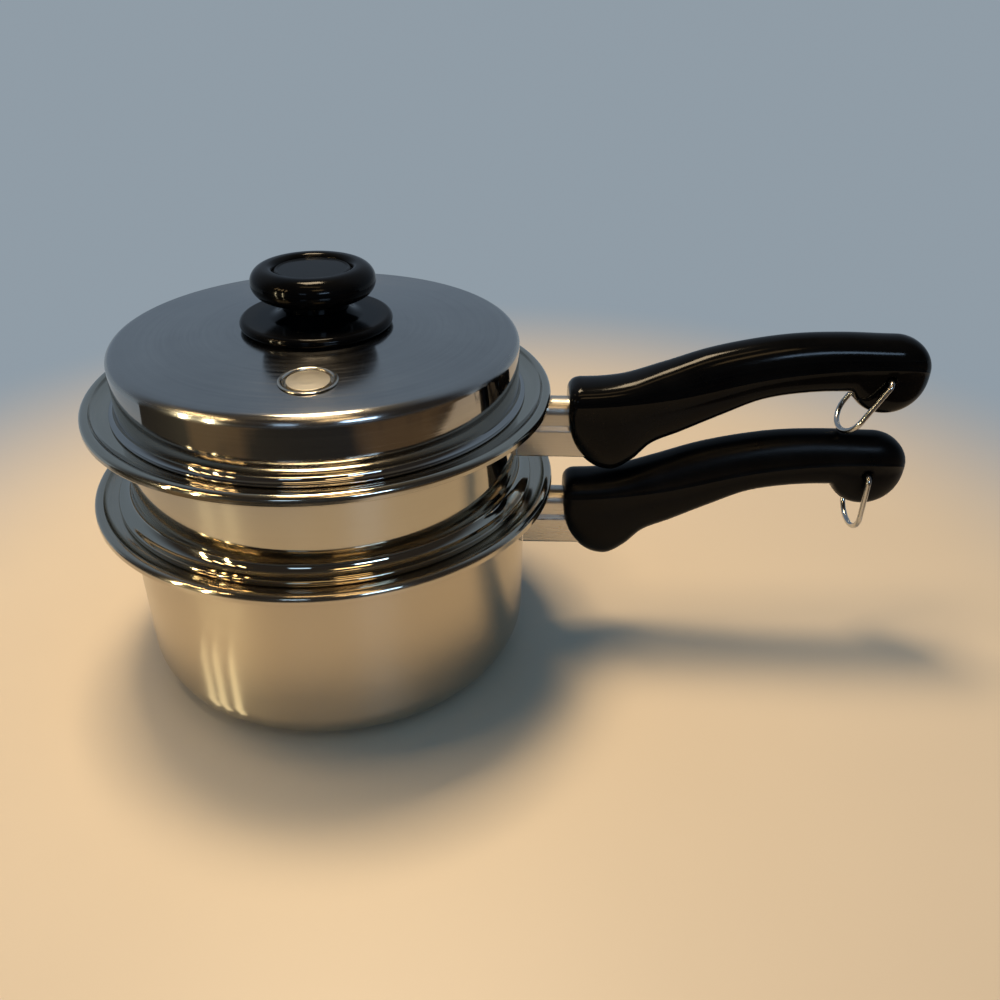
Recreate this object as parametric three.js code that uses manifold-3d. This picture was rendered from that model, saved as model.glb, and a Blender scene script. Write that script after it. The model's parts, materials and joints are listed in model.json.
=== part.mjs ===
// Saucepan with a steamer insert and a lid, stacked for cooking.
// Millimetres, +Z up. The origin is the centre of the pan's base, and both handles point along +X.

import * as THREE from 'three';
import { mergeVertices } from 'three/addons/utils/BufferGeometryUtils.js';
import Module from 'manifold-3d';

const wasm = await Module();
wasm.setup();

// Driving dimensions: shells
const SHEET = 1.2; // drawn steel walls
const FIT_GAP = 0.3; // between pieces that seat on each other
const PAN_HEIGHT = 97.2; // table to the crest of the pan's rim
const PAN_WALL_R = 96.6; // outside of the pan's wall
const PAN_CORNER = 18; // outside radius from wall to base
const PAN_FLOOR = 3; // the base is thicker than the walls
const PAN_LIP_REACH = 13.4; // pan's wall to the outside of its lip
const INSERT_CLEARANCE = 2.9; // inside of the pan to the insert's wall
const INSERT_DEPTH = 42; // the part of the insert that hangs inside the pan
const INSERT_CORNER = 14;
const INSERT_LIP_REACH = 15.2;
const FLANGE_BEARING = 1.8; // the insert's flange on the pan's ledge
const FLANGE_T = 2.8;
const FLANGE_EDGE_R = 1.1;
const FLANGE_COVE_R = 5; // flange to wall
const LID_HEIGHT = 31.5; // lid's lower edge to its top
const LID_CROWN = 3.4; // fall from the lid's flat middle to its shoulder
const LID_CORNER = 5;
const LID_BEARING = 2; // the lid's bead on the insert's ledge
const LID_BEAD_W = 3;
const LID_BEAD_H = 0.9;
const LID_COVE_R = 2.8; // bead to wall

// Driving dimensions: the rolled rim that pan and insert share
const CREST_W = 3.8;
const SLOPE_W = 1.9; // from the crest down to the ledge
const LEDGE_DROP = 3.5; // crest to the ledge that carries the piece above
const LIP_DROP = 4.6; // height of the turned-down lip
const NECK_R = 2.2; // bend from wall to ledge
const CREST_R = 2.9;
const BEND_R = 1.3;
const FOOT_R = 5.5; // cove from ledge to slope
const EDGE_R = 0.4;

// Driving dimensions: steam holes in the insert's floor
const HOLE_R = 4;
const HOLE_PITCH = 19;
const HOLE_RINGS = 3;

// Driving dimensions: handles. Heights are from the top of the bracket, lengths from the grip's end.
const GRIP_STANDOFF = 6.2; // pan's lip to the end of the grip
const PAN_BRACKET_DROP = 6.8; // pan's lip to the top of its bracket
const INSERT_BRACKET_DROP = 1.8;
const STACK_GAP = 2.7; // upper grip to lower grip
const GRIP_LENGTH = 168.2;
const GRIP_HALF_W = 13; // at the bracket
const GRIP_TAIL_HALF_W = 10; // at the hanging ring
const GRIP_TAPER_SHARE = 0.8;
const GRIP_TOP_START = 8.8;
const GRIP_TOP_ROUND = 6;
const GRIP_SIDE_ROUND = 4;
const LOBE_X = 22; // lowest point of the finger guard
const LOBE_Z = -36.6;
const LOBE_SHOULDER_Z = -5;
const BULB_R = 18.9; // round end of the grip
const BULB_Z = 14.5;
const GRIP_TOP_SQUARENESS = 2.4; // the top is rounder than the underside
const GRIP_UNDER_SQUARENESS = 3.2;
const WIDEST_SHARES = [0.2, 0.85]; // of the grip's height, limits of its widest line
// Heights along the grip's top, underside and widest line, at shares of the length to the middle of its round end.
const GRIP_TOP = [[0.16, 10.6], [0.3, 17.8], [0.43, 25], [0.57, 30.1], [0.7, 33], [0.84, 33.9]];
const GRIP_UNDER = [[0.215, -31], [0.27, -22], [0.36, -15.4], [0.485, -6], [0.605, 2.3], [0.74, 6], [0.9, 6.9]];
const GRIP_WIDEST = [[0, 0], [0.3, 4], [0.6, 14.5], [0.8, 18.6], [1, 20]];

// Driving dimensions: brackets and their fastenings
const BRACKET_WALL = 1.4;
const BRACKET_HALF_W = 8.2;
const BRACKET_DOME_R = 6.8;
const BRACKET_STEP_Z = -12.3; // where the domed top meets the wider channel
const BRACKET_BOTTOM_Z = -28.3;
const BRACKET_TANG = 22; // length inside the grip
const NUT_LENGTH = 9;
const NUT_HEIGHT = 6;
const SCREW_X = 15;
const SCREW_R = 2;
const SCREW_HEAD_R = 3.8;
const SCREW_HEAD_H = 2.4;
const SCREW_SUNK = 0.6; // head below the grip's skin
const SCREW_REACH = 5; // into the nut

// Driving dimensions: hanging rings
const WIRE_R = 1.3;
const RING_LENGTH = 32; // pivot to the far end of the ring
const RING_BOW = 10; // depth of the rounded end
const RING_BEND = 3;
const RING_PIN = 5.5; // the wire's end inside the grip
const RING_SIDE_GAP = 1.2;
const PIVOT_CLEARANCE = 0.8;
const PIVOT_BEHIND = 2; // pivot to the middle of the round end
const PIVOT_BELOW = 0.3;
const RING_REST_GAP = 0.6; // upper ring to the lower grip it leans on

// Driving dimensions: lid knob
const KNOB_SEAT_R = 36; // flat middle of the lid
const SAUCER_R = 34.3;
const SAUCER_EDGE = 4.6;
const SAUCER_HEIGHT = 8;
const WAIST_R = 14.8;
const KNOB_R = 27.7;
const KNOB_UNDER = 13.5; // lid to the underside of the knob's ring
const KNOB_TOP = 26.9;
const KNOB_RECESS_R = 17.1;
const KNOB_RECESS = 3.3;
const KNOB_DISH_R = 3; // round from the knob's crest into its recess
const DISC_T = 1.2;
const DISC_RING_W = 1.6;
const DISC_RING_H = 0.4;
const KNOB_SCREW_R = 2.4;
const KNOB_SCREW_HEAD_R = 4.6;
const KNOB_SCREW_HEAD_H = 2.8;
const KNOB_SCREW_REACH = 10; // into the threaded bush
const BUSH_WALL = 1.6;
const BUSH_LENGTH = 12;
const WASHER_R = 7.2;
const WASHER_T = 1;

// Driving dimensions: steam valve
const VALVE_INSET = 30.6; // lid's wall to the valve's axis
const VALVE_AZIMUTH = -83.3; // degrees
const SEAT_R = 12.1;
const SEAT_LIP_W = 2;
const SEAT_LIP_H = 0.5;
const SEAT_WALL = 0.7;
const SEAT_FLOOR_T = 0.8;
const SEAT_CLINCH_W = 1.2;
const SEAT_CLINCH_T = 0.9;
const VALVE_STEM_R = 2.6;
const VALVE_VENT_GAP = 1.4;
const VALVE_SIDE_GAP = 1.2; // disc to the wall of its well
const VALVE_DISC_T = 1.7;
const VALVE_DOME = 0.4;
const VALVE_TRAVEL = 1.8;
const CLIP_R = 5.6;
const CLIP_T = 0.8;
const CLIP_GROOVE = 0.7;
const STEM_TAIL = 1.2;

// Facets
const SHELL_SIDES = 48;
const KNOB_SIDES = 24;
const SMALL_SIDES = 16;
const VALVE_SIDES = 24;
const HOLE_SIDES = 8;
const WIRE_SIDES = 8;
const WIRE_STEPS = 40;
const GRIP_SIDES = 16;
const GRIP_FRONT_STEPS = 7;
const GRIP_MIDDLE_STEPS = 20;
const GRIP_TAIL_STEPS = 5;
const BIG_ARC = 4;
const SMALL_ARC = 2;
const WELD = 1e-4;

// Derived places, from the pan upwards
const panLipR = PAN_WALL_R + PAN_LIP_REACH;
const panInnerR = PAN_WALL_R - SHEET;
const panLedge = PAN_HEIGHT - LEDGE_DROP;
const gripX = panLipR + GRIP_STANDOFF;
const panHandleZ = PAN_HEIGHT - LIP_DROP - PAN_BRACKET_DROP;
const bulbX = GRIP_LENGTH - BULB_R;
const bulbTop = BULB_Z + BULB_R;
const topLine = lineThrough([[0, GRIP_TOP_START], ...stations(GRIP_TOP), [bulbX, bulbTop]]);
const underLine = lineThrough([[LOBE_X, LOBE_Z], ...stations(GRIP_UNDER)]);
const widestLine = lineThrough(stations(GRIP_WIDEST));
const stackPitch = topLine(LOBE_X) - LOBE_Z + STACK_GAP;
const insertHandleZ = panHandleZ + stackPitch;
const insertWallR = panInnerR - INSERT_CLEARANCE;
const insertInnerR = insertWallR - SHEET;
const insertCrest = insertHandleZ + INSERT_BRACKET_DROP + LIP_DROP;
const insertLedge = insertCrest - LEDGE_DROP;
const flangeBottom = panLedge + FIT_GAP;
const flangeR = panInnerR + NECK_R + FLANGE_BEARING;
const insertFloor = flangeBottom - INSERT_DEPTH;
const lidBottom = insertLedge + FIT_GAP;
const lidTop = lidBottom + LID_HEIGHT;
const lidBeadR = insertInnerR + NECK_R + LID_BEARING;
const lidWallR = lidBeadR - LID_BEAD_W;
const valveRadius = lidWallR - VALVE_INSET;
const seatWellR = SEAT_R - SEAT_LIP_W;
const seatTubeR = seatWellR + SEAT_WALL;
const pivotX = bulbX - PIVOT_BEHIND;
const pivotZ = BULB_Z - PIVOT_BELOW;

// Materials
const polished = { color: 0xcfcac0, metalness: 1, roughness: 0.12 };
const satin = { color: 0xb9b5ad, metalness: 1, roughness: 0.34 };
const glossBlack = { color: 0x0b0b0c, metalness: 0, roughness: 0.16 };
const satinBlack = { color: 0x101011, metalness: 0, roughness: 0.32 };
const zincSteel = { color: 0x9a9a96, metalness: 1, roughness: 0.3 };
const brass = { color: 0xb08d4a, metalness: 1, roughness: 0.3 };

function stations(shares) {
  return shares.map(([share, z]) => [share * bulbX, z]);
}

// A smooth line through points ordered by x, level at both ends.
function lineThrough(points) {
  const last = points.length - 1;
  const slopes = points.map((point, i) => {
    if (i === 0 || i === last) return 0;
    return (points[i + 1][1] - points[i - 1][1]) / (points[i + 1][0] - points[i - 1][0]);
  });
  return (x) => {
    if (x <= points[0][0]) return points[0][1];
    if (x >= points[last][0]) return points[last][1];
    const i = points.findIndex((point) => point[0] > x) - 1;
    const [x0, z0] = points[i];
    const [x1, z1] = points[i + 1];
    const span = x1 - x0;
    const t = (x - x0) / span;
    const ease = t * t * (3 - 2 * t);
    const out = t * (1 - t) * (1 - t) * slopes[i];
    const into = t * t * (t - 1) * slopes[i + 1];
    return z0 + (z1 - z0) * ease + span * (out + into);
  };
}

// A closed mesh with its shared corners welded, ready to be joined or cut.
function toSolid(geometry) {
  const bare = geometry.clone();
  bare.deleteAttribute('normal');
  bare.deleteAttribute('uv');
  const welded = mergeVertices(bare, WELD);
  const corners = welded.index.array;
  const kept = [];
  for (let i = 0; i < corners.length; i += 3) {
    const [a, b, c] = [corners[i], corners[i + 1], corners[i + 2]];
    if (a !== b && b !== c && c !== a) kept.push(a, b, c);
  }
  const vertProperties = new Float32Array(welded.attributes.position.array);
  return new wasm.Manifold(new wasm.Mesh({ numProp: 3, vertProperties, triVerts: new Uint32Array(kept) }));
}

function toMesh(name, solid, finish) {
  const { vertProperties, triVerts } = solid.getMesh();
  const geometry = new THREE.BufferGeometry();
  geometry.setAttribute('position', new THREE.BufferAttribute(vertProperties, 3));
  geometry.setIndex(new THREE.BufferAttribute(triVerts, 1));
  geometry.computeVertexNormals();
  const mesh = new THREE.Mesh(geometry, new THREE.MeshStandardMaterial(finish));
  mesh.name = name;
  return mesh;
}

// An outline from corners [radius, height, bend radius, steps in the bend].
// A bend is limited by the lengths beside it, which it shares with the next bends.
function outline(corners) {
  const points = [];
  corners.forEach(([r, z, bend = 0, steps = SMALL_ARC], i) => {
    const before = corners[i - 1];
    const after = corners[i + 1];
    if (!bend || !before || !after) {
      points.push(new THREE.Vector2(r, z));
      return;
    }
    const corner = new THREE.Vector2(r, z);
    const back = new THREE.Vector2(before[0], before[1]).sub(corner);
    const ahead = new THREE.Vector2(after[0], after[1]).sub(corner);
    const half = Math.abs(back.angleTo(ahead)) / 2;
    const share = (beside) => bend / (bend + (beside[2] || 0));
    const room = Math.min(back.length() * share(before), ahead.length() * share(after));
    const cut = Math.min(bend / Math.tan(half), room);
    back.setLength(cut);
    ahead.setLength(cut);
    const radius = cut * Math.tan(half);
    const centre = back.clone().add(ahead).setLength(radius / Math.sin(half)).add(corner);
    const start = corner.clone().add(back).sub(centre);
    const turn = start.angle();
    const end = corner.clone().add(ahead).sub(centre).angle();
    const sweep = Math.atan2(Math.sin(end - turn), Math.cos(end - turn));
    for (let k = 0; k <= steps; k += 1) {
      const angle = turn + (sweep * k) / steps;
      points.push(new THREE.Vector2(Math.cos(angle), Math.sin(angle)).multiplyScalar(radius).add(centre));
    }
  });
  return points;
}

// A profile turned about the Z axis. A ring's profile closes on its first corner.
function revolve(corners, sides) {
  const lathe = new THREE.LatheGeometry(outline(corners), sides);
  return toSolid(lathe.rotateX(Math.PI / 2));
}

function ring(corners, sides) {
  return revolve([...corners, corners[0].slice(0, 2)], sides);
}

function cylinder(radius, bottom, top, sides) {
  return revolve([[0, bottom], [radius, bottom], [radius, top], [0, top]], sides);
}

// A section drawn in Y and Z, drawn out along X.
function drawnAlongX(shape, start, end) {
  const bar = new THREE.ExtrudeGeometry(shape, { depth: end - start, bevelEnabled: false, curveSegments: 6 });
  const axes = [new THREE.Vector3(0, 1, 0), new THREE.Vector3(0, 0, 1), new THREE.Vector3(1, 0, 0)];
  bar.applyMatrix4(new THREE.Matrix4().makeBasis(...axes));
  return toSolid(bar.translate(start, 0, 0));
}

// The rim: out from the wall to a ledge, up to a crest and down in a lip.
function rim(wallR, lipR, crest) {
  const ledge = crest - LEDGE_DROP;
  const slopeTop = lipR - CREST_W;
  const slopeFoot = slopeTop - SLOPE_W;
  const lean = SHEET * Math.tan(Math.atan2(LEDGE_DROP, SLOPE_W) / 2);
  return [
    [wallR, ledge - SHEET, NECK_R],
    [slopeFoot + lean, ledge - SHEET, FOOT_R + SHEET],
    [slopeTop + lean, crest - SHEET, BEND_R],
    [lipR - SHEET, crest - SHEET, CREST_R - SHEET],
    [lipR - SHEET, crest - LIP_DROP],
    [lipR, crest - LIP_DROP],
    [lipR, crest, CREST_R],
    [slopeTop, crest, BEND_R],
    [slopeFoot, ledge, FOOT_R],
    [wallR - SHEET, ledge, NECK_R],
  ];
}

function makePanBody() {
  const profile = [
    [0, 0],
    [PAN_WALL_R, 0, PAN_CORNER, BIG_ARC],
    ...rim(PAN_WALL_R, panLipR, PAN_HEIGHT),
    [panInnerR, PAN_FLOOR, PAN_CORNER - SHEET, BIG_ARC],
    [0, PAN_FLOOR],
  ];
  return toMesh('pan_body', revolve(profile, SHELL_SIDES), satin);
}

function makeInsertBody() {
  const flangeTop = flangeBottom + FLANGE_T;
  const profile = [
    [0, insertFloor],
    [insertWallR, insertFloor, INSERT_CORNER, BIG_ARC],
    [insertWallR, flangeBottom],
    [flangeR, flangeBottom, FLANGE_EDGE_R],
    [flangeR, flangeTop, FLANGE_EDGE_R],
    [insertWallR, flangeTop, FLANGE_COVE_R],
    ...rim(insertWallR, insertWallR + INSERT_LIP_REACH, insertCrest),
    [insertInnerR, insertFloor + SHEET, INSERT_CORNER - SHEET, BIG_ARC],
    [0, insertFloor + SHEET],
  ];
  let body = revolve(profile, SHELL_SIDES);
  const hole = new THREE.CylinderGeometry(HOLE_R, HOLE_R, 3 * SHEET, HOLE_SIDES).rotateX(Math.PI / 2);
  for (let row = 0; row <= HOLE_RINGS; row += 1) {
    const count = Math.max(1, 6 * row);
    for (let k = 0; k < count; k += 1) {
      const angle = (2 * Math.PI * k) / count;
      const [x, y] = [row * HOLE_PITCH * Math.cos(angle), row * HOLE_PITCH * Math.sin(angle)];
      body = body.subtract(toSolid(hole.clone().translate(x, y, insertFloor + SHEET / 2)));
    }
  }
  return toMesh('insert_body', body, polished);
}

// The lid's top falls in a straight slope from its flat middle to its shoulder.
function lidHeightAt(radius) {
  return lidTop - (LID_CROWN * (radius - KNOB_SEAT_R)) / (lidWallR - KNOB_SEAT_R);
}

// The valve's own frame: its Z axis is square to the lid's slope.
function placeValve(object) {
  const azimuth = THREE.MathUtils.degToRad(VALVE_AZIMUTH);
  const lean = Math.atan2(LID_CROWN, lidWallR - KNOB_SEAT_R);
  object.position.set(
    valveRadius * Math.cos(azimuth),
    valveRadius * Math.sin(azimuth),
    lidHeightAt(valveRadius),
  );
  object.rotation.set(0, lean, azimuth, 'ZYX');
  object.updateMatrix();
  return object;
}

function makeLid() {
  const shoulder = lidTop - LID_CROWN;
  const profile = [
    [0, lidTop - SHEET],
    [KNOB_SEAT_R, lidTop - SHEET],
    [lidWallR - SHEET, shoulder - SHEET, LID_CORNER - SHEET],
    [lidWallR - SHEET, lidBottom],
    [lidBeadR, lidBottom, EDGE_R],
    [lidBeadR, lidBottom + LID_BEAD_H, EDGE_R],
    [lidWallR, lidBottom + LID_BEAD_H, LID_COVE_R],
    [lidWallR, shoulder, LID_CORNER, BIG_ARC],
    [KNOB_SEAT_R, lidTop],
    [0, lidTop],
  ];
  const screwHole = cylinder(KNOB_SCREW_R + FIT_GAP, lidTop - 2 * SHEET, lidTop + SHEET, SMALL_SIDES);
  const valveHole = new THREE.CylinderGeometry(
    seatTubeR + FIT_GAP,
    seatTubeR + FIT_GAP,
    6 * SHEET,
    VALVE_SIDES,
  );
  valveHole.rotateX(Math.PI / 2).applyMatrix4(placeValve(new THREE.Object3D()).matrix);
  const shell = revolve(profile, SHELL_SIDES).subtract(screwHole).subtract(toSolid(valveHole));
  return toMesh('lid_shell', shell, satin);
}

function makeKnob() {
  const base = lidTop + FIT_GAP;
  const boreR = KNOB_SCREW_R + FIT_GAP;
  const bushR = boreR + BUSH_WALL;
  const saucerTop = base + SAUCER_HEIGHT;
  const saucer = ring([
    [boreR, base],
    [SAUCER_R, base, SAUCER_EDGE / 2],
    [SAUCER_R, base + SAUCER_EDGE, SAUCER_EDGE / 2],
    [WAIST_R + SAUCER_HEIGHT - SAUCER_EDGE, base + SAUCER_EDGE, SAUCER_HEIGHT, BIG_ARC],
    [WAIST_R, saucerTop],
    [boreR, saucerTop],
  ], KNOB_SIDES);

  const capBottom = saucerTop + FIT_GAP;
  const capUnder = base + KNOB_UNDER;
  const capTop = base + KNOB_TOP;
  const capRound = (capTop - capUnder) / 2;
  const recess = capTop - KNOB_RECESS;
  const bushBottom = capBottom + FIT_GAP;
  const bushTop = bushBottom + BUSH_LENGTH;
  const cap = ring([
    [bushR + FIT_GAP, capBottom],
    [WAIST_R, capBottom],
    [WAIST_R, capUnder, EDGE_R + BEND_R],
    [KNOB_R, capUnder, capRound, BIG_ARC],
    [KNOB_R, capTop, capRound, BIG_ARC],
    [KNOB_RECESS_R, capTop, KNOB_DISH_R],
    [KNOB_RECESS_R, recess],
    [boreR, recess],
    [boreR, bushTop + FIT_GAP],
    [bushR + FIT_GAP, bushTop + FIT_GAP],
  ], KNOB_SIDES);
  const bush = ring([
    [boreR, bushBottom],
    [bushR, bushBottom],
    [bushR, bushTop],
    [boreR, bushTop],
  ], SMALL_SIDES);

  const discR = KNOB_RECESS_R - FIT_GAP;
  const discBottom = recess + FIT_GAP;
  const discTop = discBottom + DISC_T;
  const disc = revolve([
    [0, discBottom],
    [discR, discBottom],
    [discR, discTop],
    [discR - DISC_RING_W / 2, discTop + DISC_RING_H],
    [discR - DISC_RING_W, discTop],
    [0, discTop],
  ], KNOB_SIDES);

  const washerTop = lidTop - SHEET - FIT_GAP;
  const washerBottom = washerTop - WASHER_T;
  const washer = ring([
    [boreR, washerBottom],
    [WASHER_R, washerBottom],
    [WASHER_R, washerTop],
    [boreR, washerTop],
  ], SMALL_SIDES);
  const headTop = washerBottom - FIT_GAP;
  const headBottom = headTop - KNOB_SCREW_HEAD_H;
  const screw = revolve([
    [0, headBottom],
    [KNOB_SCREW_HEAD_R, headBottom, BEND_R],
    [KNOB_SCREW_HEAD_R, headTop],
    [KNOB_SCREW_R, headTop],
    [KNOB_SCREW_R, bushBottom + KNOB_SCREW_REACH],
    [0, bushBottom + KNOB_SCREW_REACH],
  ], SMALL_SIDES);
  return [
    toMesh('knob_saucer', saucer, glossBlack),
    toMesh('knob_cap', cap, glossBlack),
    toMesh('knob_bush', bush, brass),
    toMesh('knob_top_disc', disc, glossBlack),
    toMesh('knob_washer', washer, zincSteel),
    toMesh('knob_screw', screw, zincSteel),
  ];
}

// The valve: a cup clinched into the lid up to its lip, and a loose disc in it on a stem that a clip holds in.
function makeValve() {
  const group = placeValve(new THREE.Group());
  const boreR = VALVE_STEM_R + VALVE_VENT_GAP;
  const crest = FIT_GAP + SEAT_LIP_H;
  const clinchTop = -SHEET - FIT_GAP;
  const clinchBottom = clinchTop - SEAT_CLINCH_T;
  const clinchR = seatTubeR + SEAT_CLINCH_W;
  const floorTop = clinchBottom + SEAT_FLOOR_T;
  const seat = ring([
    [boreR, clinchBottom],
    [clinchR, clinchBottom],
    [clinchR, clinchTop],
    [seatTubeR, clinchTop],
    [seatTubeR, FIT_GAP],
    [SEAT_R, FIT_GAP],
    [SEAT_R, crest, SEAT_LIP_W / 2],
    [seatWellR, crest, SEAT_LIP_W / 2],
    [seatWellR, floorTop],
    [boreR, floorTop],
  ], VALVE_SIDES);

  const discR = seatWellR - VALVE_SIDE_GAP;
  const discBottom = floorTop + FIT_GAP;
  const discTop = discBottom + VALVE_DISC_T;
  const clipTop = clinchBottom - VALVE_TRAVEL;
  const clipBottom = clipTop - CLIP_T;
  const grooveR = VALVE_STEM_R - CLIP_GROOVE;
  const disc = revolve([
    [0, clipBottom - FIT_GAP - STEM_TAIL],
    [VALVE_STEM_R, clipBottom - FIT_GAP - STEM_TAIL],
    [VALVE_STEM_R, clipBottom - FIT_GAP],
    [grooveR, clipBottom - FIT_GAP],
    [grooveR, clipTop + FIT_GAP],
    [VALVE_STEM_R, clipTop + FIT_GAP],
    [VALVE_STEM_R, discBottom],
    [discR, discBottom],
    [discR, discTop],
    [discR / 2, discTop + (3 * VALVE_DOME) / 4],
    [0, discTop + VALVE_DOME],
  ], VALVE_SIDES);
  const clip = ring([
    [grooveR + FIT_GAP, clipBottom],
    [CLIP_R, clipBottom],
    [CLIP_R, clipTop],
    [grooveR + FIT_GAP, clipTop],
  ], SMALL_SIDES);
  group.add(
    toMesh('valve_seat', seat, polished),
    toMesh('valve_disc', disc, polished),
    toMesh('valve_clip', clip, zincSteel),
  );
  return group;
}

// Half width and heights of the grip at a distance from its end.
function gripSection(x) {
  const beyond = Math.max(0, x - bulbX) / BULB_R;
  const taper = Math.min(1, x / (GRIP_TAPER_SHARE * bulbX));
  const frontLoss = (round) => round - Math.sqrt(round ** 2 - Math.max(0, round - x) ** 2);
  const tail = Math.sqrt(1 - beyond ** 2);
  const halfW = (GRIP_HALF_W + (GRIP_TAIL_HALF_W - GRIP_HALF_W) * taper - frontLoss(GRIP_SIDE_ROUND)) * tail;
  const ahead = Math.max(0, LOBE_X - x) / LOBE_X;
  const lobe = LOBE_SHOULDER_Z + (LOBE_Z - LOBE_SHOULDER_Z) * Math.sqrt(1 - ahead ** 2);
  const drop = Math.sqrt(Math.max(0, BULB_R ** 2 - (x - bulbX) ** 2));
  const under = x < LOBE_X ? lobe : underLine(x);
  const top = beyond > 0 ? BULB_Z + BULB_R * tail : topLine(x) - frontLoss(GRIP_TOP_ROUND);
  const bottom = beyond > 0 ? BULB_Z - drop : Math.min(under, drop > 0 ? BULB_Z - drop : under);
  const widest = BULB_Z + (widestLine(x) - BULB_Z) * tail;
  const [lowest, highest] = WIDEST_SHARES.map((share) => bottom + (top - bottom) * share);
  return { halfW, top, bottom, middle: THREE.MathUtils.clamp(widest, lowest, highest) };
}

// The grip's skin: rounded sections along X, closed at both ends.
function gripBlank() {
  const quarter = Math.PI / 2;
  const places = [];
  for (let k = 0; k < GRIP_FRONT_STEPS; k += 1) {
    places.push(LOBE_X * (1 - Math.cos((quarter * k) / GRIP_FRONT_STEPS)));
  }
  for (let k = 0; k < GRIP_MIDDLE_STEPS; k += 1) {
    places.push(LOBE_X + ((bulbX - LOBE_X) * k) / GRIP_MIDDLE_STEPS);
  }
  for (let k = 0; k <= GRIP_TAIL_STEPS; k += 1) {
    places.push(bulbX + BULB_R * Math.sin((quarter * k) / (GRIP_TAIL_STEPS + 0.4)));
  }
  const positions = [];
  const corners = [];
  const bulge = (value, squareness) => Math.sign(value) * Math.abs(value) ** (2 / squareness);
  for (const x of places) {
    const { halfW, top, bottom, middle } = gripSection(x);
    for (let k = 0; k < GRIP_SIDES; k += 1) {
      const angle = (2 * Math.PI * k) / GRIP_SIDES;
      const upper = Math.sin(angle) > 0;
      const squareness = upper ? GRIP_TOP_SQUARENESS : GRIP_UNDER_SQUARENESS;
      const y = halfW * bulge(Math.cos(angle), squareness);
      const z = middle + (upper ? top - middle : middle - bottom) * bulge(Math.sin(angle), squareness);
      positions.push(x, y, z);
    }
  }
  const lastRing = (places.length - 1) * GRIP_SIDES;
  for (let k = 0; k < GRIP_SIDES; k += 1) {
    const next = (k + 1) % GRIP_SIDES;
    for (let start = 0; start < lastRing; start += GRIP_SIDES) {
      const [a, b] = [start + k, start + next];
      corners.push(a, b, a + GRIP_SIDES, b, b + GRIP_SIDES, a + GRIP_SIDES);
    }
    if (k > 0 && next > 0) {
      corners.push(0, next, k);
      corners.push(lastRing, lastRing + k, lastRing + next);
    }
  }
  const skin = new THREE.BufferGeometry();
  skin.setAttribute('position', new THREE.Float32BufferAttribute(positions, 3));
  skin.setIndex(corners);
  return toSolid(skin);
}

// The bracket's outside: a channel with a narrower domed top, grown by a margin for its pocket.
function bracketOutside(margin) {
  const channel = BRACKET_HALF_W + margin;
  const dome = BRACKET_DOME_R + margin;
  const shape = new THREE.Shape();
  shape.moveTo(-channel, BRACKET_BOTTOM_Z - margin);
  shape.lineTo(channel, BRACKET_BOTTOM_Z - margin);
  shape.lineTo(channel, BRACKET_STEP_Z + margin);
  shape.lineTo(dome, BRACKET_STEP_Z + margin);
  shape.absarc(0, -BRACKET_DOME_R, dome, 0, Math.PI, false);
  shape.lineTo(-dome, BRACKET_STEP_Z + margin);
  shape.lineTo(-channel, BRACKET_STEP_Z + margin);
  shape.closePath();
  return shape;
}

// The space inside the bracket, open below.
function bracketInside() {
  const channel = BRACKET_HALF_W - BRACKET_WALL;
  const dome = BRACKET_DOME_R - BRACKET_WALL;
  const shape = new THREE.Shape();
  shape.moveTo(-channel, BRACKET_BOTTOM_Z - BRACKET_WALL);
  shape.lineTo(channel, BRACKET_BOTTOM_Z - BRACKET_WALL);
  shape.lineTo(channel, BRACKET_STEP_Z - BRACKET_WALL);
  shape.lineTo(dome, BRACKET_STEP_Z - BRACKET_WALL);
  shape.absarc(0, -BRACKET_DOME_R, dome, 0, Math.PI, false);
  shape.lineTo(-dome, BRACKET_STEP_Z - BRACKET_WALL);
  shape.lineTo(-channel, BRACKET_STEP_Z - BRACKET_WALL);
  shape.closePath();
  return shape;
}

// A hanging ring: a wire bent in at both ends, hanging from its pivot at the origin.
function makeRing() {
  const half = GRIP_TAIL_HALF_W + RING_SIDE_GAP + WIRE_R;
  const shank = RING_LENGTH - RING_BOW;
  const at = (y, z) => new THREE.Vector3(0, y, z);
  const bow = new THREE.CatmullRomCurve3(Array.from({ length: 9 }, (unused, k) => {
    const angle = (Math.PI * k) / 8;
    return at(-half * Math.cos(angle), -shank - RING_BOW * Math.sin(angle));
  }));
  const route = new THREE.CurvePath();
  route.add(new THREE.LineCurve3(at(RING_PIN - half, 0), at(RING_BEND - half, 0)));
  route.add(new THREE.QuadraticBezierCurve3(at(RING_BEND - half, 0), at(-half, 0), at(-half, -RING_BEND)));
  route.add(new THREE.LineCurve3(at(-half, -RING_BEND), at(-half, -shank)));
  route.add(bow);
  route.add(new THREE.LineCurve3(at(half, -shank), at(half, -RING_BEND)));
  route.add(new THREE.QuadraticBezierCurve3(at(half, -RING_BEND), at(half, 0), at(half - RING_BEND, 0)));
  route.add(new THREE.LineCurve3(at(half - RING_BEND, 0), at(half - RING_PIN, 0)));
  const section = new THREE.Shape();
  for (let k = 0; k < WIRE_SIDES; k += 1) {
    const angle = (2 * Math.PI * k) / WIRE_SIDES;
    const [x, y] = [WIRE_R * Math.cos(angle), WIRE_R * Math.sin(angle)];
    if (k === 0) section.moveTo(x, y);
    else section.lineTo(x, y);
  }
  const wire = new THREE.ExtrudeGeometry(section, { steps: WIRE_STEPS, extrudePath: route });
  return toSolid(wire);
}

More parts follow.
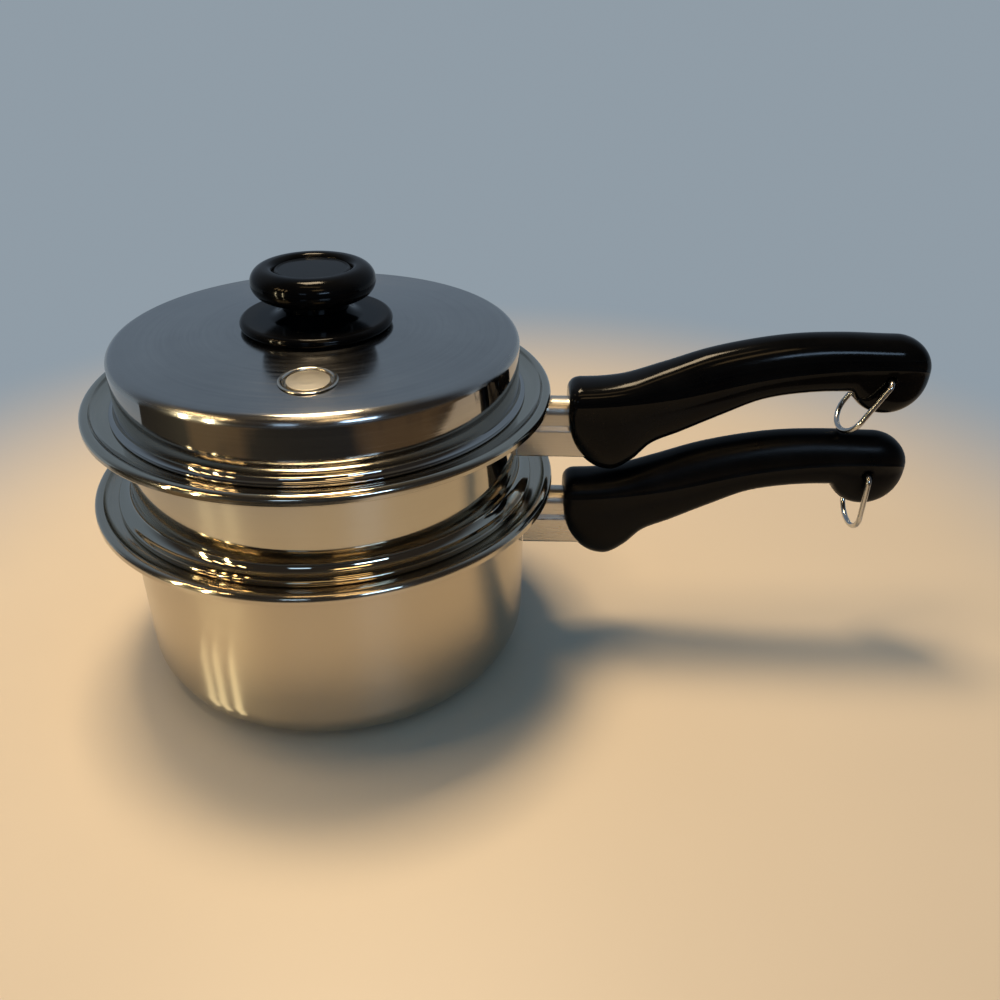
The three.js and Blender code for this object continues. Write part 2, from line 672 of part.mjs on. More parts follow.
// A handle in its own frame: its bracket runs back to the wall, and its ring leans by an angle.
function makeHandle(prefix, wallR, height, ringLean, gripFinish) {
  const group = new THREE.Group();
  group.position.set(gripX, 0, height);

  const pocketEnd = BRACKET_TANG + FIT_GAP;
  const headTop = gripSection(SCREW_X).bottom + SCREW_SUNK + SCREW_HEAD_H;
  const boreR = SCREW_R + FIT_GAP;
  const upright = (radius, bottom, top) => cylinder(radius, bottom, top, SMALL_SIDES).translate(SCREW_X, 0, 0);
  const pivotHole = new THREE.CylinderGeometry(
    WIRE_R + PIVOT_CLEARANCE,
    WIRE_R + PIVOT_CLEARANCE,
    3 * GRIP_HALF_W,
    SMALL_SIDES,
  );
  const grip = gripBlank()
    .subtract(drawnAlongX(bracketOutside(FIT_GAP), -BRACKET_TANG, pocketEnd))
    .subtract(upright(boreR, LOBE_Z - BULB_R, BRACKET_BOTTOM_Z))
    .subtract(upright(SCREW_HEAD_R + FIT_GAP, LOBE_Z - BULB_R, headTop + FIT_GAP))
    .subtract(toSolid(pivotHole.translate(pivotX, 0, pivotZ)));

  const wallGap = cylinder(wallR + FIT_GAP, BRACKET_BOTTOM_Z - BULB_R, BULB_R, SHELL_SIDES);
  const bracket = drawnAlongX(bracketOutside(0), -gripX, BRACKET_TANG)
    .subtract(drawnAlongX(bracketInside(), -gripX - SHEET, BRACKET_TANG + SHEET))
    .subtract(wallGap.translate(-gripX, 0, 0));

  const nutW = 2 * (BRACKET_HALF_W - BRACKET_WALL - FIT_GAP);
  const nutMiddle = BRACKET_BOTTOM_Z + FIT_GAP + NUT_HEIGHT / 2;
  const nutBlock = new THREE.BoxGeometry(NUT_LENGTH, nutW, NUT_HEIGHT).translate(SCREW_X, 0, nutMiddle);
  const nut = toSolid(nutBlock).subtract(upright(boreR, nutMiddle - NUT_HEIGHT, nutMiddle + NUT_HEIGHT));

  const screw = revolve([
    [0, headTop - SCREW_HEAD_H],
    [SCREW_HEAD_R, headTop - SCREW_HEAD_H, BEND_R],
    [SCREW_HEAD_R, headTop],
    [SCREW_R, headTop],
    [SCREW_R, BRACKET_BOTTOM_Z + SCREW_REACH],
    [0, BRACKET_BOTTOM_Z + SCREW_REACH],
  ], SMALL_SIDES).translate(SCREW_X, 0, 0);

  const hangRing = toMesh(`${prefix}_hang_ring`, makeRing(), polished);
  hangRing.position.set(pivotX, 0, pivotZ);
  hangRing.rotation.y = ringLean;
  group.add(
    toMesh(`${prefix}_grip`, grip, gripFinish),
    toMesh(`${prefix}_bracket`, bracket, polished),
    toMesh(`${prefix}_bracket_nut`, nut, zincSteel),
    toMesh(`${prefix}_grip_screw`, screw, zincSteel),
    hangRing,
  );
  return group;
}

// The pan's ring hangs straight. The insert's ring leans back on the grip below it.
const gripCrest = Math.max(...GRIP_TOP.map(([, z]) => z));
const ringDrop = stackPitch + pivotZ - gripCrest - WIRE_R - RING_REST_GAP;
const insertRingLean = Math.acos(Math.min(1, ringDrop / RING_LENGTH));

const saucepan = new THREE.Group();
saucepan.add(
  makePanBody(),
  makeHandle('pan', PAN_WALL_R, panHandleZ, 0, satinBlack),
  makeInsertBody(),
  makeHandle('insert', insertWallR, insertHandleZ, insertRingLean, glossBlack),
  makeLid(),
  ...makeKnob(),
  makeValve(),
);

export default saucepan;
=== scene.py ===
"""Looks of a saucepan with a steamer insert: fine meshes, materials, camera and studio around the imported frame.

Sizes are in millimetres in the row frame and become metres where a mesh is made.
"""

import json
import math

import bmesh
import bpy
from mathutils import Matrix, Vector


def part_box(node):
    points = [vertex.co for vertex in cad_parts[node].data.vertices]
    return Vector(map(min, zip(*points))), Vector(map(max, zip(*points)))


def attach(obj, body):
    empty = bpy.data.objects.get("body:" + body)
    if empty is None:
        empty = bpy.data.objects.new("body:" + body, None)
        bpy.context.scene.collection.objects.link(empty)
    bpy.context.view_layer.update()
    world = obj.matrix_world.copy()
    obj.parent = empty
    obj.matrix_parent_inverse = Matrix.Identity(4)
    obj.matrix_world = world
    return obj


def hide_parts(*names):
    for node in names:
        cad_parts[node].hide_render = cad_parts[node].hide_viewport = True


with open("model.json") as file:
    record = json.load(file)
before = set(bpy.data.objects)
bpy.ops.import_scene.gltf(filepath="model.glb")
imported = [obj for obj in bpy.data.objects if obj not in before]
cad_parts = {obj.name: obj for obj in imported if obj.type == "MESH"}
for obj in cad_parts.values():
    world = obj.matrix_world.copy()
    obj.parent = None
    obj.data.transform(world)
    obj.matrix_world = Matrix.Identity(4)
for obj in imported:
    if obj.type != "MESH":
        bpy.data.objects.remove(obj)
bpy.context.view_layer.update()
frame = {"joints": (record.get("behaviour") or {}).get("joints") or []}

MM = 0.001
TINY = 1e-6
WELD_M = 1e-7
CUT_OVER = 1

# Shells
SHEET = 1.2
FIT_GAP = 0.3
PAN_FLOOR = 3.0
PAN_CORNER = 18.0
PAN_LIP_REACH = 13.4
INSERT_CORNER = 14.0
INSERT_LIP_REACH = 15.2
FLANGE_T = 2.8
FLANGE_EDGE_R = 1.1
FLANGE_COVE_R = 5.0
FLANGE_BEARING = 1.8
LID_CROWN = 3.4
LID_CORNER = 5.0
LID_BEAD_W = 3.0
LID_BEAD_H = 0.9
LID_COVE_R = 2.8

# Rolled rim
CREST_W = 3.8
SLOPE_W = 1.9
LEDGE_DROP = 3.5
LIP_DROP = 4.6
NECK_R = 2.2
CREST_R = 2.9
BEND_R = 1.3
FOOT_R = 5.5
EDGE_R = 0.4

# Steam holes
HOLE_R = 4.0
HOLE_PITCH = 19.0
HOLE_RINGS = 3
HOLES_PER_RING = 6

# Grips: heights from the top of the bracket, lengths from the grip's end
GRIP_TOP_START = 8.8
GRIP_TOP_ROUND = 6.0
GRIP_SIDE_ROUND = 4.0
GRIP_HALF_W = 13.0
GRIP_TAIL_HALF_W = 10.0
GRIP_TAPER_SHARE = 0.8
GRIP_LENGTH = 168.2
LOBE_X = 22.0
LOBE_Z = -36.6
LOBE_SHOULDER_Z = -5.0
BULB_R = 18.9
BULB_Z = 14.5
GRIP_TOP_SQUARENESS = 2.4
GRIP_UNDER_SQUARENESS = 3.2
GRIP_TOP = [(0.16, 10.6), (0.3, 17.8), (0.43, 25), (0.57, 30.1), (0.7, 33), (0.84, 33.9)]
GRIP_UNDER = [(0.215, -31), (0.27, -22), (0.36, -15.4), (0.485, -6), (0.605, 2.3), (0.74, 6), (0.9, 6.9)]
GRIP_WIDEST = [(0, 0), (0.3, 4), (0.6, 14.5), (0.8, 18.6), (1, 20)]
SEAM_PROUD = 0.16
SEAM_HALF = 0.4
SEAM_STEPS = (-1, -0.4, 0.4, 1)

# Brackets and fastenings
BRACKET_WALL = 1.4
BRACKET_HALF_W = 8.2
BRACKET_DOME_R = 6.8
BRACKET_STEP_Z = -12.3
BRACKET_BOTTOM_Z = -28.3
BRACKET_TANG = 22.0
BRACKET_EDGE_R = 1.3
BRACKET_BEVEL = 2.3
BRACKET_FOOT_R = 1.2
SCREW_X = 15.0
SCREW_R = 2.0
SCREW_HEAD_R = 3.8
SCREW_HEAD_H = 2.4
SLOT_W = 0.9
SLOT_REACH = 0.55
SLOT_DEPTH = 1.0

# Hanging rings
WIRE_R = 1.3
RING_LENGTH = 32.0
RING_BOW = 10.0
RING_BEND = 3.0
RING_PIN = 5.5
RING_SIDE_GAP = 1.2
PIVOT_CLEARANCE = 0.8
PIVOT_FLARE = 1.1

# Knob
KNOB_SEAT_R = 36.0
SAUCER_EDGE = 4.6
WAIST_R = 14.8
KNOB_UNDER = 13.5
KNOB_RECESS = 3.3
KNOB_DISH_R = 3.0
DISC_RING_W = 1.6
DISC_RING_H = 0.4
KNOB_SCREW_R = 2.4
KNOB_SCREW_HEAD_R = 4.6
KNOB_SCREW_HEAD_H = 2.8

# Steam valve
VALVE_INSET = 30.6
VALVE_AZIMUTH = -83.3
SEAT_R = 12.1
SEAT_LIP_W = 2.0
SEAT_LIP_H = 0.5
SEAT_WALL = 0.7
SEAT_FLOOR_T = 0.8
SEAT_CLINCH_W = 1.2
SEAT_CLINCH_T = 0.9
VALVE_STEM_R = 2.6
VALVE_VENT_GAP = 1.4
VALVE_SIDE_GAP = 1.2
VALVE_DISC_T = 1.7
VALVE_DOME = 0.4
DOME_HALFWAY = 0.75
VALVE_TRAVEL = 1.8
CLIP_R = 5.6
CLIP_T = 0.8
CLIP_GROOVE = 0.7
STEM_TAIL = 1.2

# Fineness
SHELL_SIDES = 240
KNOB_SIDES = 128
SMALL_SIDES = 64
HOLE_SIDES = 32
GRIP_SIDES = 52
WIRE_SIDES = 20
ARC_STEPS = 8
BIG_ARC_STEPS = 20
GRIP_STEPS = 90
GRIP_END_STEPS = 20
GRIP_TAIL_QUARTER = 20.15  # a little over the steps taken, so that the last section isn't a point
CROWN_STEPS = 32
BRACKET_STEPS = 12
BOW_STEPS = 48
NUT_EDGE_STEPS = 2
HOLD = 0.25
SHARP = math.radians(38)


# ---- Sizes from the frame

def span(node):
    """Lowest and highest corner of a CAD node in millimetres."""
    low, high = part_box(node)
    return [value / MM for value in low], [value / MM for value in high]


pan_high = span("pan_body")[1]
insert_low, insert_high = span("insert_body")
lid_low, lid_high = span("lid_shell")
pan_lip_r, pan_crest = pan_high[0], pan_high[2]
pan_wall_r = pan_lip_r - PAN_LIP_REACH
insert_lip_r, insert_crest, insert_floor = insert_high[0], insert_high[2], insert_low[2]
insert_wall_r = insert_lip_r - INSERT_LIP_REACH
lid_bead_r, lid_bottom, lid_top = lid_high[0], lid_low[2], lid_high[2]
lid_wall_r = lid_bead_r - LID_BEAD_W
flange_bottom = pan_crest - LEDGE_DROP + FIT_GAP
flange_r = pan_wall_r - SHEET + NECK_R + FLANGE_BEARING
grip_x = span("pan_grip")[0][0]
pan_handle_z = span("pan_bracket")[1][2]
insert_handle_z = span("insert_bracket")[1][2]
bulb_x = GRIP_LENGTH - BULB_R
seat_well_r = SEAT_R - SEAT_LIP_W
seat_tube_r = seat_well_r + SEAT_WALL
joint_at = {joint["name"]: joint.get("pos_m") for joint in frame["joints"]}


# ---- Mesh making

def outline(corners):
    """Points along corners (r, z, bend radius, steps in the bend), with short stretches that hold the bends' ends."""
    points = []
    for i, corner in enumerate(corners):
        r, z = corner[:2]
        bend = corner[2] if len(corner) > 2 else 0
        count = corner[3] if len(corner) > 3 else ARC_STEPS
        if not bend or i in (0, len(corners) - 1):
            points.append(Vector((r, z)))
            continue
        here = Vector((r, z))
        back = Vector(corners[i - 1][:2]) - here
        ahead = Vector(corners[i + 1][:2]) - here
        half = back.angle(ahead) / 2
        shares = [bend / (bend + (corners[k][2] if len(corners[k]) > 2 else 0)) for k in (i - 1, i + 1)]
        cut = min(bend / math.tan(half), back.length * shares[0], ahead.length * shares[1])
        radius = cut * math.tan(half)
        first, last = here + back.normalized() * cut, here + ahead.normalized() * cut
        centre = here + (back.normalized() + ahead.normalized()).normalized() * (radius / math.sin(half))
        turn = math.atan2(first.y - centre.y, first.x - centre.x)
        sweep = math.atan2(last.y - centre.y, last.x - centre.x) - turn
        sweep = math.atan2(math.sin(sweep), math.cos(sweep))
        for k in range(count + 1):
            angle = turn + sweep * k / count
            points.append(centre + radius * Vector((math.cos(angle), math.sin(angle))))
    held = [points[0]]
    for a, b in zip(points, points[1:]):
        gap = (b - a).length
        if gap < TINY:
            continue
        if gap > 4 * HOLD:
            held += [a.lerp(b, HOLD / gap), b.lerp(a, HOLD / gap)]
        held.append(b)
    return held


def finish_mesh(name, vertices, faces, place=None):
    """A smooth-shaded object from millimetre vertices, with its hard corners kept sharp."""
    mesh = bpy.data.meshes.new(name)
    mesh.from_pydata([Vector(v) * MM for v in vertices], [], faces)
    shape = bmesh.new()
    shape.from_mesh(mesh)
    bmesh.ops.remove_doubles(shape, verts=shape.verts, dist=WELD_M)
    bmesh.ops.recalc_face_normals(shape, faces=shape.faces)
    shape.to_mesh(mesh)
    shape.free()
    if place is not None:
        mesh.transform(place)
    smooth(mesh)
    piece = bpy.data.objects.new(name, mesh)
    bpy.context.scene.collection.objects.link(piece)
    return piece


def smooth(mesh):
    """Shades a mesh smooth, apart from its hard corners."""
    mesh.shade_smooth()
    mesh.set_sharp_from_angle(angle=SHARP)


def revolve(name, corners, sides=SHELL_SIDES, place=None, ring=False):
    """A profile turned about Z. A ring's profile closes on its first corner."""
    points = outline(list(corners) + [corners[0][:2]] if ring else corners)
    vertices, rows = [], []
    for r, z in points:
        if r < TINY:
            rows.append([len(vertices)] * sides)
            vertices.append((0, 0, z))
            continue
        rows.append(list(range(len(vertices), len(vertices) + sides)))
        for k in range(sides):
            angle = 2 * math.pi * k / sides
            vertices.append((r * math.cos(angle), r * math.sin(angle), z))
    faces = []
    for low, high in zip(rows, rows[1:]):
        for k in range(sides):
            n = (k + 1) % sides
            face = [low[k], low[n], high[n], high[k]]
            face = [v for j, v in enumerate(face) if v not in face[:j]]
            if len(face) > 2:
                faces.append(face)
    return finish_mesh(name, vertices, faces, place)


def loft(name, rings, place=None):
    """A closed skin through rings of equal point counts, capped at both ends."""
    count = len(rings[0])
    vertices = [point for ring in rings for point in ring]
    faces = [list(range(count)), list(range(len(vertices) - count, len(vertices)))]
    for start in range(0, len(vertices) - count, count):
        for k in range(count):
            n = (k + 1) % count
            faces.append([start + k, start + n, start + count + n, start + count + k])
    return finish_mesh(name, vertices, faces, place)


def cut_away(piece, *cutters):
    """Takes the cutters' space out of a piece and deletes them."""
    for cutter in cutters:
        tool = piece.modifiers.new("cut", "BOOLEAN")
        tool.operation, tool.solver, tool.object = "DIFFERENCE", "MANIFOLD", cutter
    graph = bpy.context.evaluated_depsgraph_get()
    mesh = bpy.data.meshes.new_from_object(piece.evaluated_get(graph))
    piece.modifiers.clear()
    old, piece.data = piece.data, mesh
    mesh.name = piece.name
    bpy.data.meshes.remove(old)
    for cutter in cutters:
        bpy.data.objects.remove(cutter)
    smooth(mesh)
    return piece


def block(name, low, high, place=None):
    """A box between two corners."""
    section = ((low[1], low[2]), (high[1], low[2]), (high[1], high[2]), (low[1], high[2]))
    return loft(name, [[(x, y, z) for y, z in section] for x in (low[0], high[0])], place)


def drum(name, radius, bottom, top, place=None, sides=SMALL_SIDES):
    """A cylinder about Z."""
    return revolve(name, [(0, bottom), (radius, bottom), (radius, top), (0, top)], sides, place)


def stand_for(piece, node, body, material):
    """Dresses a piece, and puts it in place of a CAD node on its body."""
    piece.data.materials.clear()
    piece.data.materials.append(material)
    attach(piece, body)
    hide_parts(node)


# ---- Materials

SHADE_START, SHADE_END = 0.25, 0.75
NOISE_LOW, NOISE_HIGH = 0.3, 0.7
BUMP_DISTANCE = 0.0002

# Metals: noise, and shares that scale the roughness, with the lid's places as shares of its corner's radius
GRAIN_DETAIL, GRAIN_ROUGHNESS = 4.0, 0.7
DRAWN_DETAIL = 2.0
DRAWN_SHORTER = 0.03
SMUDGE_SCALE, SMUDGE_DETAIL, SMUDGE_ROUGHNESS = 22.0, 4.0, 0.6
QUARTER_TURN = 0.25
LID_WALL_POLISH, LID_CORNER_POLISH = 0.45, 1.7
LID_EDGE_POLISH, LID_TOP_POLISH = 1.0, 0.6
LID_CORNER_BELOW, LID_EDGE_BELOW, LID_TOP_ABOVE = 0.7, 0.2, 0.1
WALL_POLISH, PAN_RIM_POLISH, INSERT_RIM_POLISH = 1.0, 0.8, 1.5

# Black phenolic
PHENOLIC_DARK, PHENOLIC_LIGHT = (0.0016, 0.0016, 0.0018), (0.004, 0.004, 0.0042)
CLOUD_SCALE, CLOUD_DETAIL = 60.0, 4.0
WEAR_SCALE, WEAR_DETAIL, WEAR_BUMP = 900.0, 2.0, 0.03
PHENOLIC_SHINE = 0.09


def shader(name):
    """A new material, its node tree and its surface node."""
    material = bpy.data.materials.new(name)
    material.use_nodes = True
    tree = material.node_tree
    return material, tree, tree.nodes["Principled BSDF"]


def add(tree, kind, inputs=None, **settings):
    """A node with its settings, and inputs that are values or other nodes' outputs."""
    made = tree.nodes.new(kind)
    for key, value in settings.items():
        setattr(made, key, value)
    for key, value in (inputs or {}).items():
        if isinstance(value, bpy.types.NodeSocket):
            tree.links.new(value, made.inputs[key])
        else:
            made.inputs[key].default_value = value
    return made


def place_of(tree):
    """A point's place in the row frame, in metres."""
    return add(tree, "ShaderNodeTexCoord").outputs["Object"]


def noise(tree, vector, scale, detail=3.0, roughness=0.55):
    """A noise value at a place."""
    inputs = {"Vector": vector, "Scale": scale, "Detail": detail, "Roughness": roughness}
    return add(tree, "ShaderNodeTexNoise", inputs).outputs["Fac"]


def remap(tree, value, low, high, start=NOISE_LOW, end=NOISE_HIGH):
    """A value's stretch from start to end, brought to low and high."""
    made = add(tree, "ShaderNodeMapRange", {
        "Value": value, "From Min": start, "From Max": end, "To Min": low, "To Max": high})
    return made.outputs["Result"]


def math_node(tree, operation, a, b):
    return add(tree, "ShaderNodeMath", {0: a, 1: b}, operation=operation).outputs["Value"]


def shades(tree, value, dark, light):
    """A colour between two, by a value."""
    made = add(tree, "ShaderNodeValToRGB", {"Fac": value})
    made.color_ramp.elements[0].color = (*dark, 1)
    made.color_ramp.elements[1].color = (*light, 1)
    made.color_ramp.elements[0].position = SHADE_START
    made.color_ramp.elements[1].position = SHADE_END
    return made.outputs["Color"]


def round_grain(tree, spacing):
    """Fine lines that run round the Z axis, as spinning and polishing leave them. The spacing is in metres."""
    parts = add(tree, "ShaderNodeSeparateXYZ", {"Vector": place_of(tree)})
    flat = add(tree, "ShaderNodeCombineXYZ", {"X": parts.outputs["X"], "Y": parts.outputs["Y"]}).outputs["Vector"]
    radius = add(tree, "ShaderNodeVectorMath", {0: flat}, operation="LENGTH").outputs["Value"]
    around = add(tree, "ShaderNodeVectorMath", {0: flat}, operation="NORMALIZE").outputs["Vector"]
    turn = add(tree, "ShaderNodeSeparateXYZ", {"Vector": around})
    across = math_node(tree, "MULTIPLY", radius, 1 / spacing)
    lines = add(tree, "ShaderNodeCombineXYZ", {"X": across, "Y": turn.outputs["X"], "Z": turn.outputs["Y"]})
    height = math_node(tree, "MULTIPLY", parts.outputs["Z"], 1 / spacing)
    made = add(tree, "ShaderNodeTexNoise", {
        "Vector": lines.outputs["Vector"], "W": height, "Scale": 1.0,
        "Detail": GRAIN_DETAIL, "Roughness": GRAIN_ROUGHNESS}, noise_dimensions="4D")
    return made.outputs["Fac"]


def drawn_grain(tree, spacing):
    """Fine lines along X, as on bent strip and wire. The spacing is in metres."""
    stretch = (DRAWN_SHORTER / spacing, 1 / spacing, 1 / spacing)
    lines = add(tree, "ShaderNodeVectorMath", {0: place_of(tree), 1: stretch}, operation="MULTIPLY").outputs["Vector"]
    return noise(tree, lines, 1.0, DRAWN_DETAIL)


def dress_metal(name, dark, light, rough, grain, smudge, spacing, bump, brushing=0, grain_lines=round_grain):
    """Metal with grain lines, smudges, and a stretched gloss where it is brushed.

    Grain and smudge are how far the roughness strays to both sides by each.
    """
    material, tree, surface = shader(name)
    lines = grain_lines(tree, spacing)
    blots = noise(tree, place_of(tree), SMUDGE_SCALE, SMUDGE_DETAIL, SMUDGE_ROUGHNESS)
    uneven = math_node(tree, "ADD", remap(tree, lines, -grain, grain), remap(tree, blots, -smudge, smudge))
    tree.links.new(math_node(tree, "ADD", uneven, rough), surface.inputs["Roughness"])
    tint = math_node(tree, "ADD", math_node(tree, "MULTIPLY", lines, 0.5), math_node(tree, "MULTIPLY", blots, 0.5))
    tree.links.new(shades(tree, tint, dark, light), surface.inputs["Base Color"])
    relief = add(tree, "ShaderNodeBump", {"Height": lines, "Strength": bump, "Distance": BUMP_DISTANCE})
    tree.links.new(relief.outputs["Normal"], surface.inputs["Normal"])
    surface.inputs["Metallic"].default_value = 1.0
    if brushing:
        surface.inputs["Anisotropic"].default_value = brushing
        surface.inputs["Anisotropic Rotation"].default_value = QUARTER_TURN
        tangent = add(tree, "ShaderNodeTangent", direction_type="RADIAL", axis="Z")
        tree.links.new(tangent.outputs["Tangent"], surface.inputs["Tangent"])
    return material


def polish_by_height(material, start, end, first, last):
    """Scales a metal's roughness from one share to another between two heights in millimetres."""
    tree = material.node_tree
    roughness = tree.nodes["Principled BSDF"].inputs["Roughness"]
    brushed = roughness.links[0].from_socket
    height = add(tree, "ShaderNodeSeparateXYZ", {"Vector": place_of(tree)}).outputs["Z"]
    share = remap(tree, height, first, last, start * MM, end * MM)
    tree.links.new(math_node(tree, "MULTIPLY", brushed, share), roughness)


def dress_lid():
    """Lid: its top is brushed in circles, and its wall below the shoulder is polished."""
    material = dress_metal(
        "lid_steel_brushed", dark=(0.36, 0.35, 0.34), light=(0.49, 0.48, 0.455),
        rough=0.14, grain=0.05, smudge=0.03, spacing=0.0016, bump=0.05, brushing=0.75)
    shoulder = lid_top - LID_CROWN
    polish_by_height(material, shoulder - LID_CORNER, shoulder - LID_CORNER_BELOW * LID_CORNER,
                     LID_WALL_POLISH, LID_CORNER_POLISH)
    polish_by_height(material, shoulder - LID_EDGE_BELOW * LID_CORNER, shoulder + LID_TOP_ABOVE * LID_CORNER,
                     LID_EDGE_POLISH, LID_TOP_POLISH)
    return material


def dress_pan():
    """Pan: its wall is satin, and its rim is a little brighter."""
    material = dress_metal(
        "pan_steel_satin", dark=(0.46, 0.417, 0.345), light=(0.536, 0.489, 0.408),
        rough=0.19, grain=0.03, smudge=0.03, spacing=0.0005, bump=0.012, brushing=0.85)
    polish_by_height(material, pan_crest - LIP_DROP - NECK_R, pan_crest - LEDGE_DROP, WALL_POLISH, PAN_RIM_POLISH)
    return material


def dress_insert():
    """Insert: its wall is a mirror, and its rim is a little duller."""
    material = dress_metal(
        "insert_steel_polished", dark=(0.445, 0.415, 0.35), light=(0.51, 0.48, 0.405),
        rough=0.07, grain=0.015, smudge=0.03, spacing=0.0006, bump=0.01)
    polish_by_height(material, insert_crest - LIP_DROP - NECK_R, insert_crest - LEDGE_DROP,
                     WALL_POLISH, INSERT_RIM_POLISH)
    return material


def dress_plastic(name, rough, spread):
    """Black phenolic with faint clouding, fine wear and a little mould texture."""
    material, tree, surface = shader(name)
    place = place_of(tree)
    cloud = noise(tree, place, CLOUD_SCALE, CLOUD_DETAIL)
    wear = noise(tree, place, WEAR_SCALE, WEAR_DETAIL)
    tree.links.new(shades(tree, cloud, PHENOLIC_DARK, PHENOLIC_LIGHT), surface.inputs["Base Color"])
    uneven = math_node(tree, "ADD", remap(tree, cloud, -spread, spread), remap(tree, wear, -spread / 2, spread / 2))
    tree.links.new(math_node(tree, "ADD", uneven, rough), surface.inputs["Roughness"])
    relief = add(tree, "ShaderNodeBump", {"Height": wear, "Strength": WEAR_BUMP, "Distance": BUMP_DISTANCE})
    tree.links.new(relief.outputs["Normal"], surface.inputs["Normal"])
    surface.inputs["Specular IOR Level"].default_value = PHENOLIC_SHINE
    return material


pan_steel = dress_pan()
insert_steel = dress_insert()
lid_steel = dress_lid()
bracket_steel = dress_metal(
    "bracket_steel_polished", dark=(0.5, 0.47, 0.42), light=(0.6, 0.565, 0.51),
    rough=0.3, grain=0.025, smudge=0.03, spacing=0.0005, bump=0.008, grain_lines=drawn_grain)
wire_steel = dress_metal(
    "wire_steel_bright", dark=(0.46, 0.45, 0.43), light=(0.6, 0.59, 0.57),
    rough=0.2, grain=0.04, smudge=0.05, spacing=0.0006, bump=0.02, grain_lines=drawn_grain)
valve_steel = dress_metal(
    "valve_steel_polished", dark=(0.56, 0.52, 0.45), light=(0.66, 0.615, 0.54),
    rough=0.2, grain=0.03, smudge=0.03, spacing=0.0006, bump=0.01)
valve_satin = dress_metal(
    "valve_steel_satin", dark=(0.52, 0.47, 0.38), light=(0.6, 0.55, 0.45),
    rough=0.39, grain=0.05, smudge=0.06, spacing=0.0006, bump=0.01)
fastener_steel = dress_metal(
    "fastener_steel_plain", dark=(0.38, 0.38, 0.37), light=(0.5, 0.5, 0.48),
    rough=0.32, grain=0.06, smudge=0.06, spacing=0.0007, bump=0.1)
bush_brass = dress_metal(
    "bush_brass_turned", dark=(0.52, 0.38, 0.17), light=(0.66, 0.5, 0.25),
    rough=0.3, grain=0.05, smudge=0.05, spacing=0.0006, bump=0.1)
gloss_black = dress_plastic("grip_phenolic_gloss", rough=0.12, spread=0.025)
satin_black = dress_plastic("grip_phenolic_satin", rough=0.33, spread=0.05)
knob_black = dress_plastic("knob_phenolic_gloss", rough=0.11, spread=0.025)


# ---- Shells

def rim(wall_r, lip_r, crest):
    """The rim: out from the wall to a ledge, up to a crest and down in a lip."""
    ledge = crest - LEDGE_DROP
    slope_top = lip_r - CREST_W
    slope_foot = slope_top - SLOPE_W
    lean = SHEET * math.tan(math.atan2(LEDGE_DROP, SLOPE_W) / 2)
    return [
        (wall_r, ledge - SHEET, NECK_R),
        (slope_foot + lean, ledge - SHEET, FOOT_R + SHEET),
        (slope_top + lean, crest - SHEET, BEND_R),
        (lip_r - SHEET, crest - SHEET, CREST_R - SHEET),
        (lip_r - SHEET, crest - LIP_DROP, EDGE_R),
        (lip_r, crest - LIP_DROP, EDGE_R),
        (lip_r, crest, CREST_R),
        (slope_top, crest, BEND_R),
        (slope_foot, ledge, FOOT_R),
        (wall_r - SHEET, ledge, NECK_R),
    ]


def make_pan_body():
    """The pan's shell, from the middle of its base over the rim and back inside."""
    profile = [
        (0, 0),
        (pan_wall_r, 0, PAN_CORNER, BIG_ARC_STEPS),
        *rim(pan_wall_r, pan_lip_r, pan_crest),
        (pan_wall_r - SHEET, PAN_FLOOR, PAN_CORNER - SHEET, BIG_ARC_STEPS),
        (0, PAN_FLOOR),
    ]
    stand_for(revolve("pan_shell_fine", profile), "pan_body", "pan", pan_steel)


def make_insert_body():
    """The insert's shell, with the flange that rests on the pan and the steam holes in its floor."""
    flange_top = flange_bottom + FLANGE_T
    profile = [
        (0, insert_floor),
        (insert_wall_r, insert_floor, INSERT_CORNER, BIG_ARC_STEPS),
        (insert_wall_r, flange_bottom, EDGE_R),
        (flange_r, flange_bottom, FLANGE_EDGE_R),
        (flange_r, flange_top, FLANGE_EDGE_R),
        (insert_wall_r, flange_top, FLANGE_COVE_R),
        *rim(insert_wall_r, insert_lip_r, insert_crest),
        (insert_wall_r - SHEET, insert_floor + SHEET, INSERT_CORNER - SHEET, BIG_ARC_STEPS),
        (0, insert_floor + SHEET),
    ]
    holes = []
    for row in range(HOLE_RINGS + 1):
        count = max(1, HOLES_PER_RING * row)
        for k in range(count):
            angle = 2 * math.pi * k / count
            at = Matrix.Translation(Vector((math.cos(angle), math.sin(angle), 0)) * row * HOLE_PITCH * MM)
            holes.append(drum("steam_hole", HOLE_R, insert_floor - SHEET, insert_floor + 2 * SHEET, at, HOLE_SIDES))
    body = cut_away(revolve("insert_shell_fine", profile), *holes)
    stand_for(body, "insert_body", "insert", insert_steel)


def valve_place():
    """The valve's own frame, square to the lid's slope."""
    slope = LID_CROWN / (lid_wall_r - KNOB_SEAT_R)
    radius = lid_wall_r - VALVE_INSET
    height = lid_top - slope * (radius - KNOB_SEAT_R)
    turn = Matrix.Rotation(math.radians(VALVE_AZIMUTH), 4, "Z")
    return turn @ Matrix.Translation(Vector((radius, 0, height)) * MM) @ Matrix.Rotation(math.atan(slope), 4, "Y")


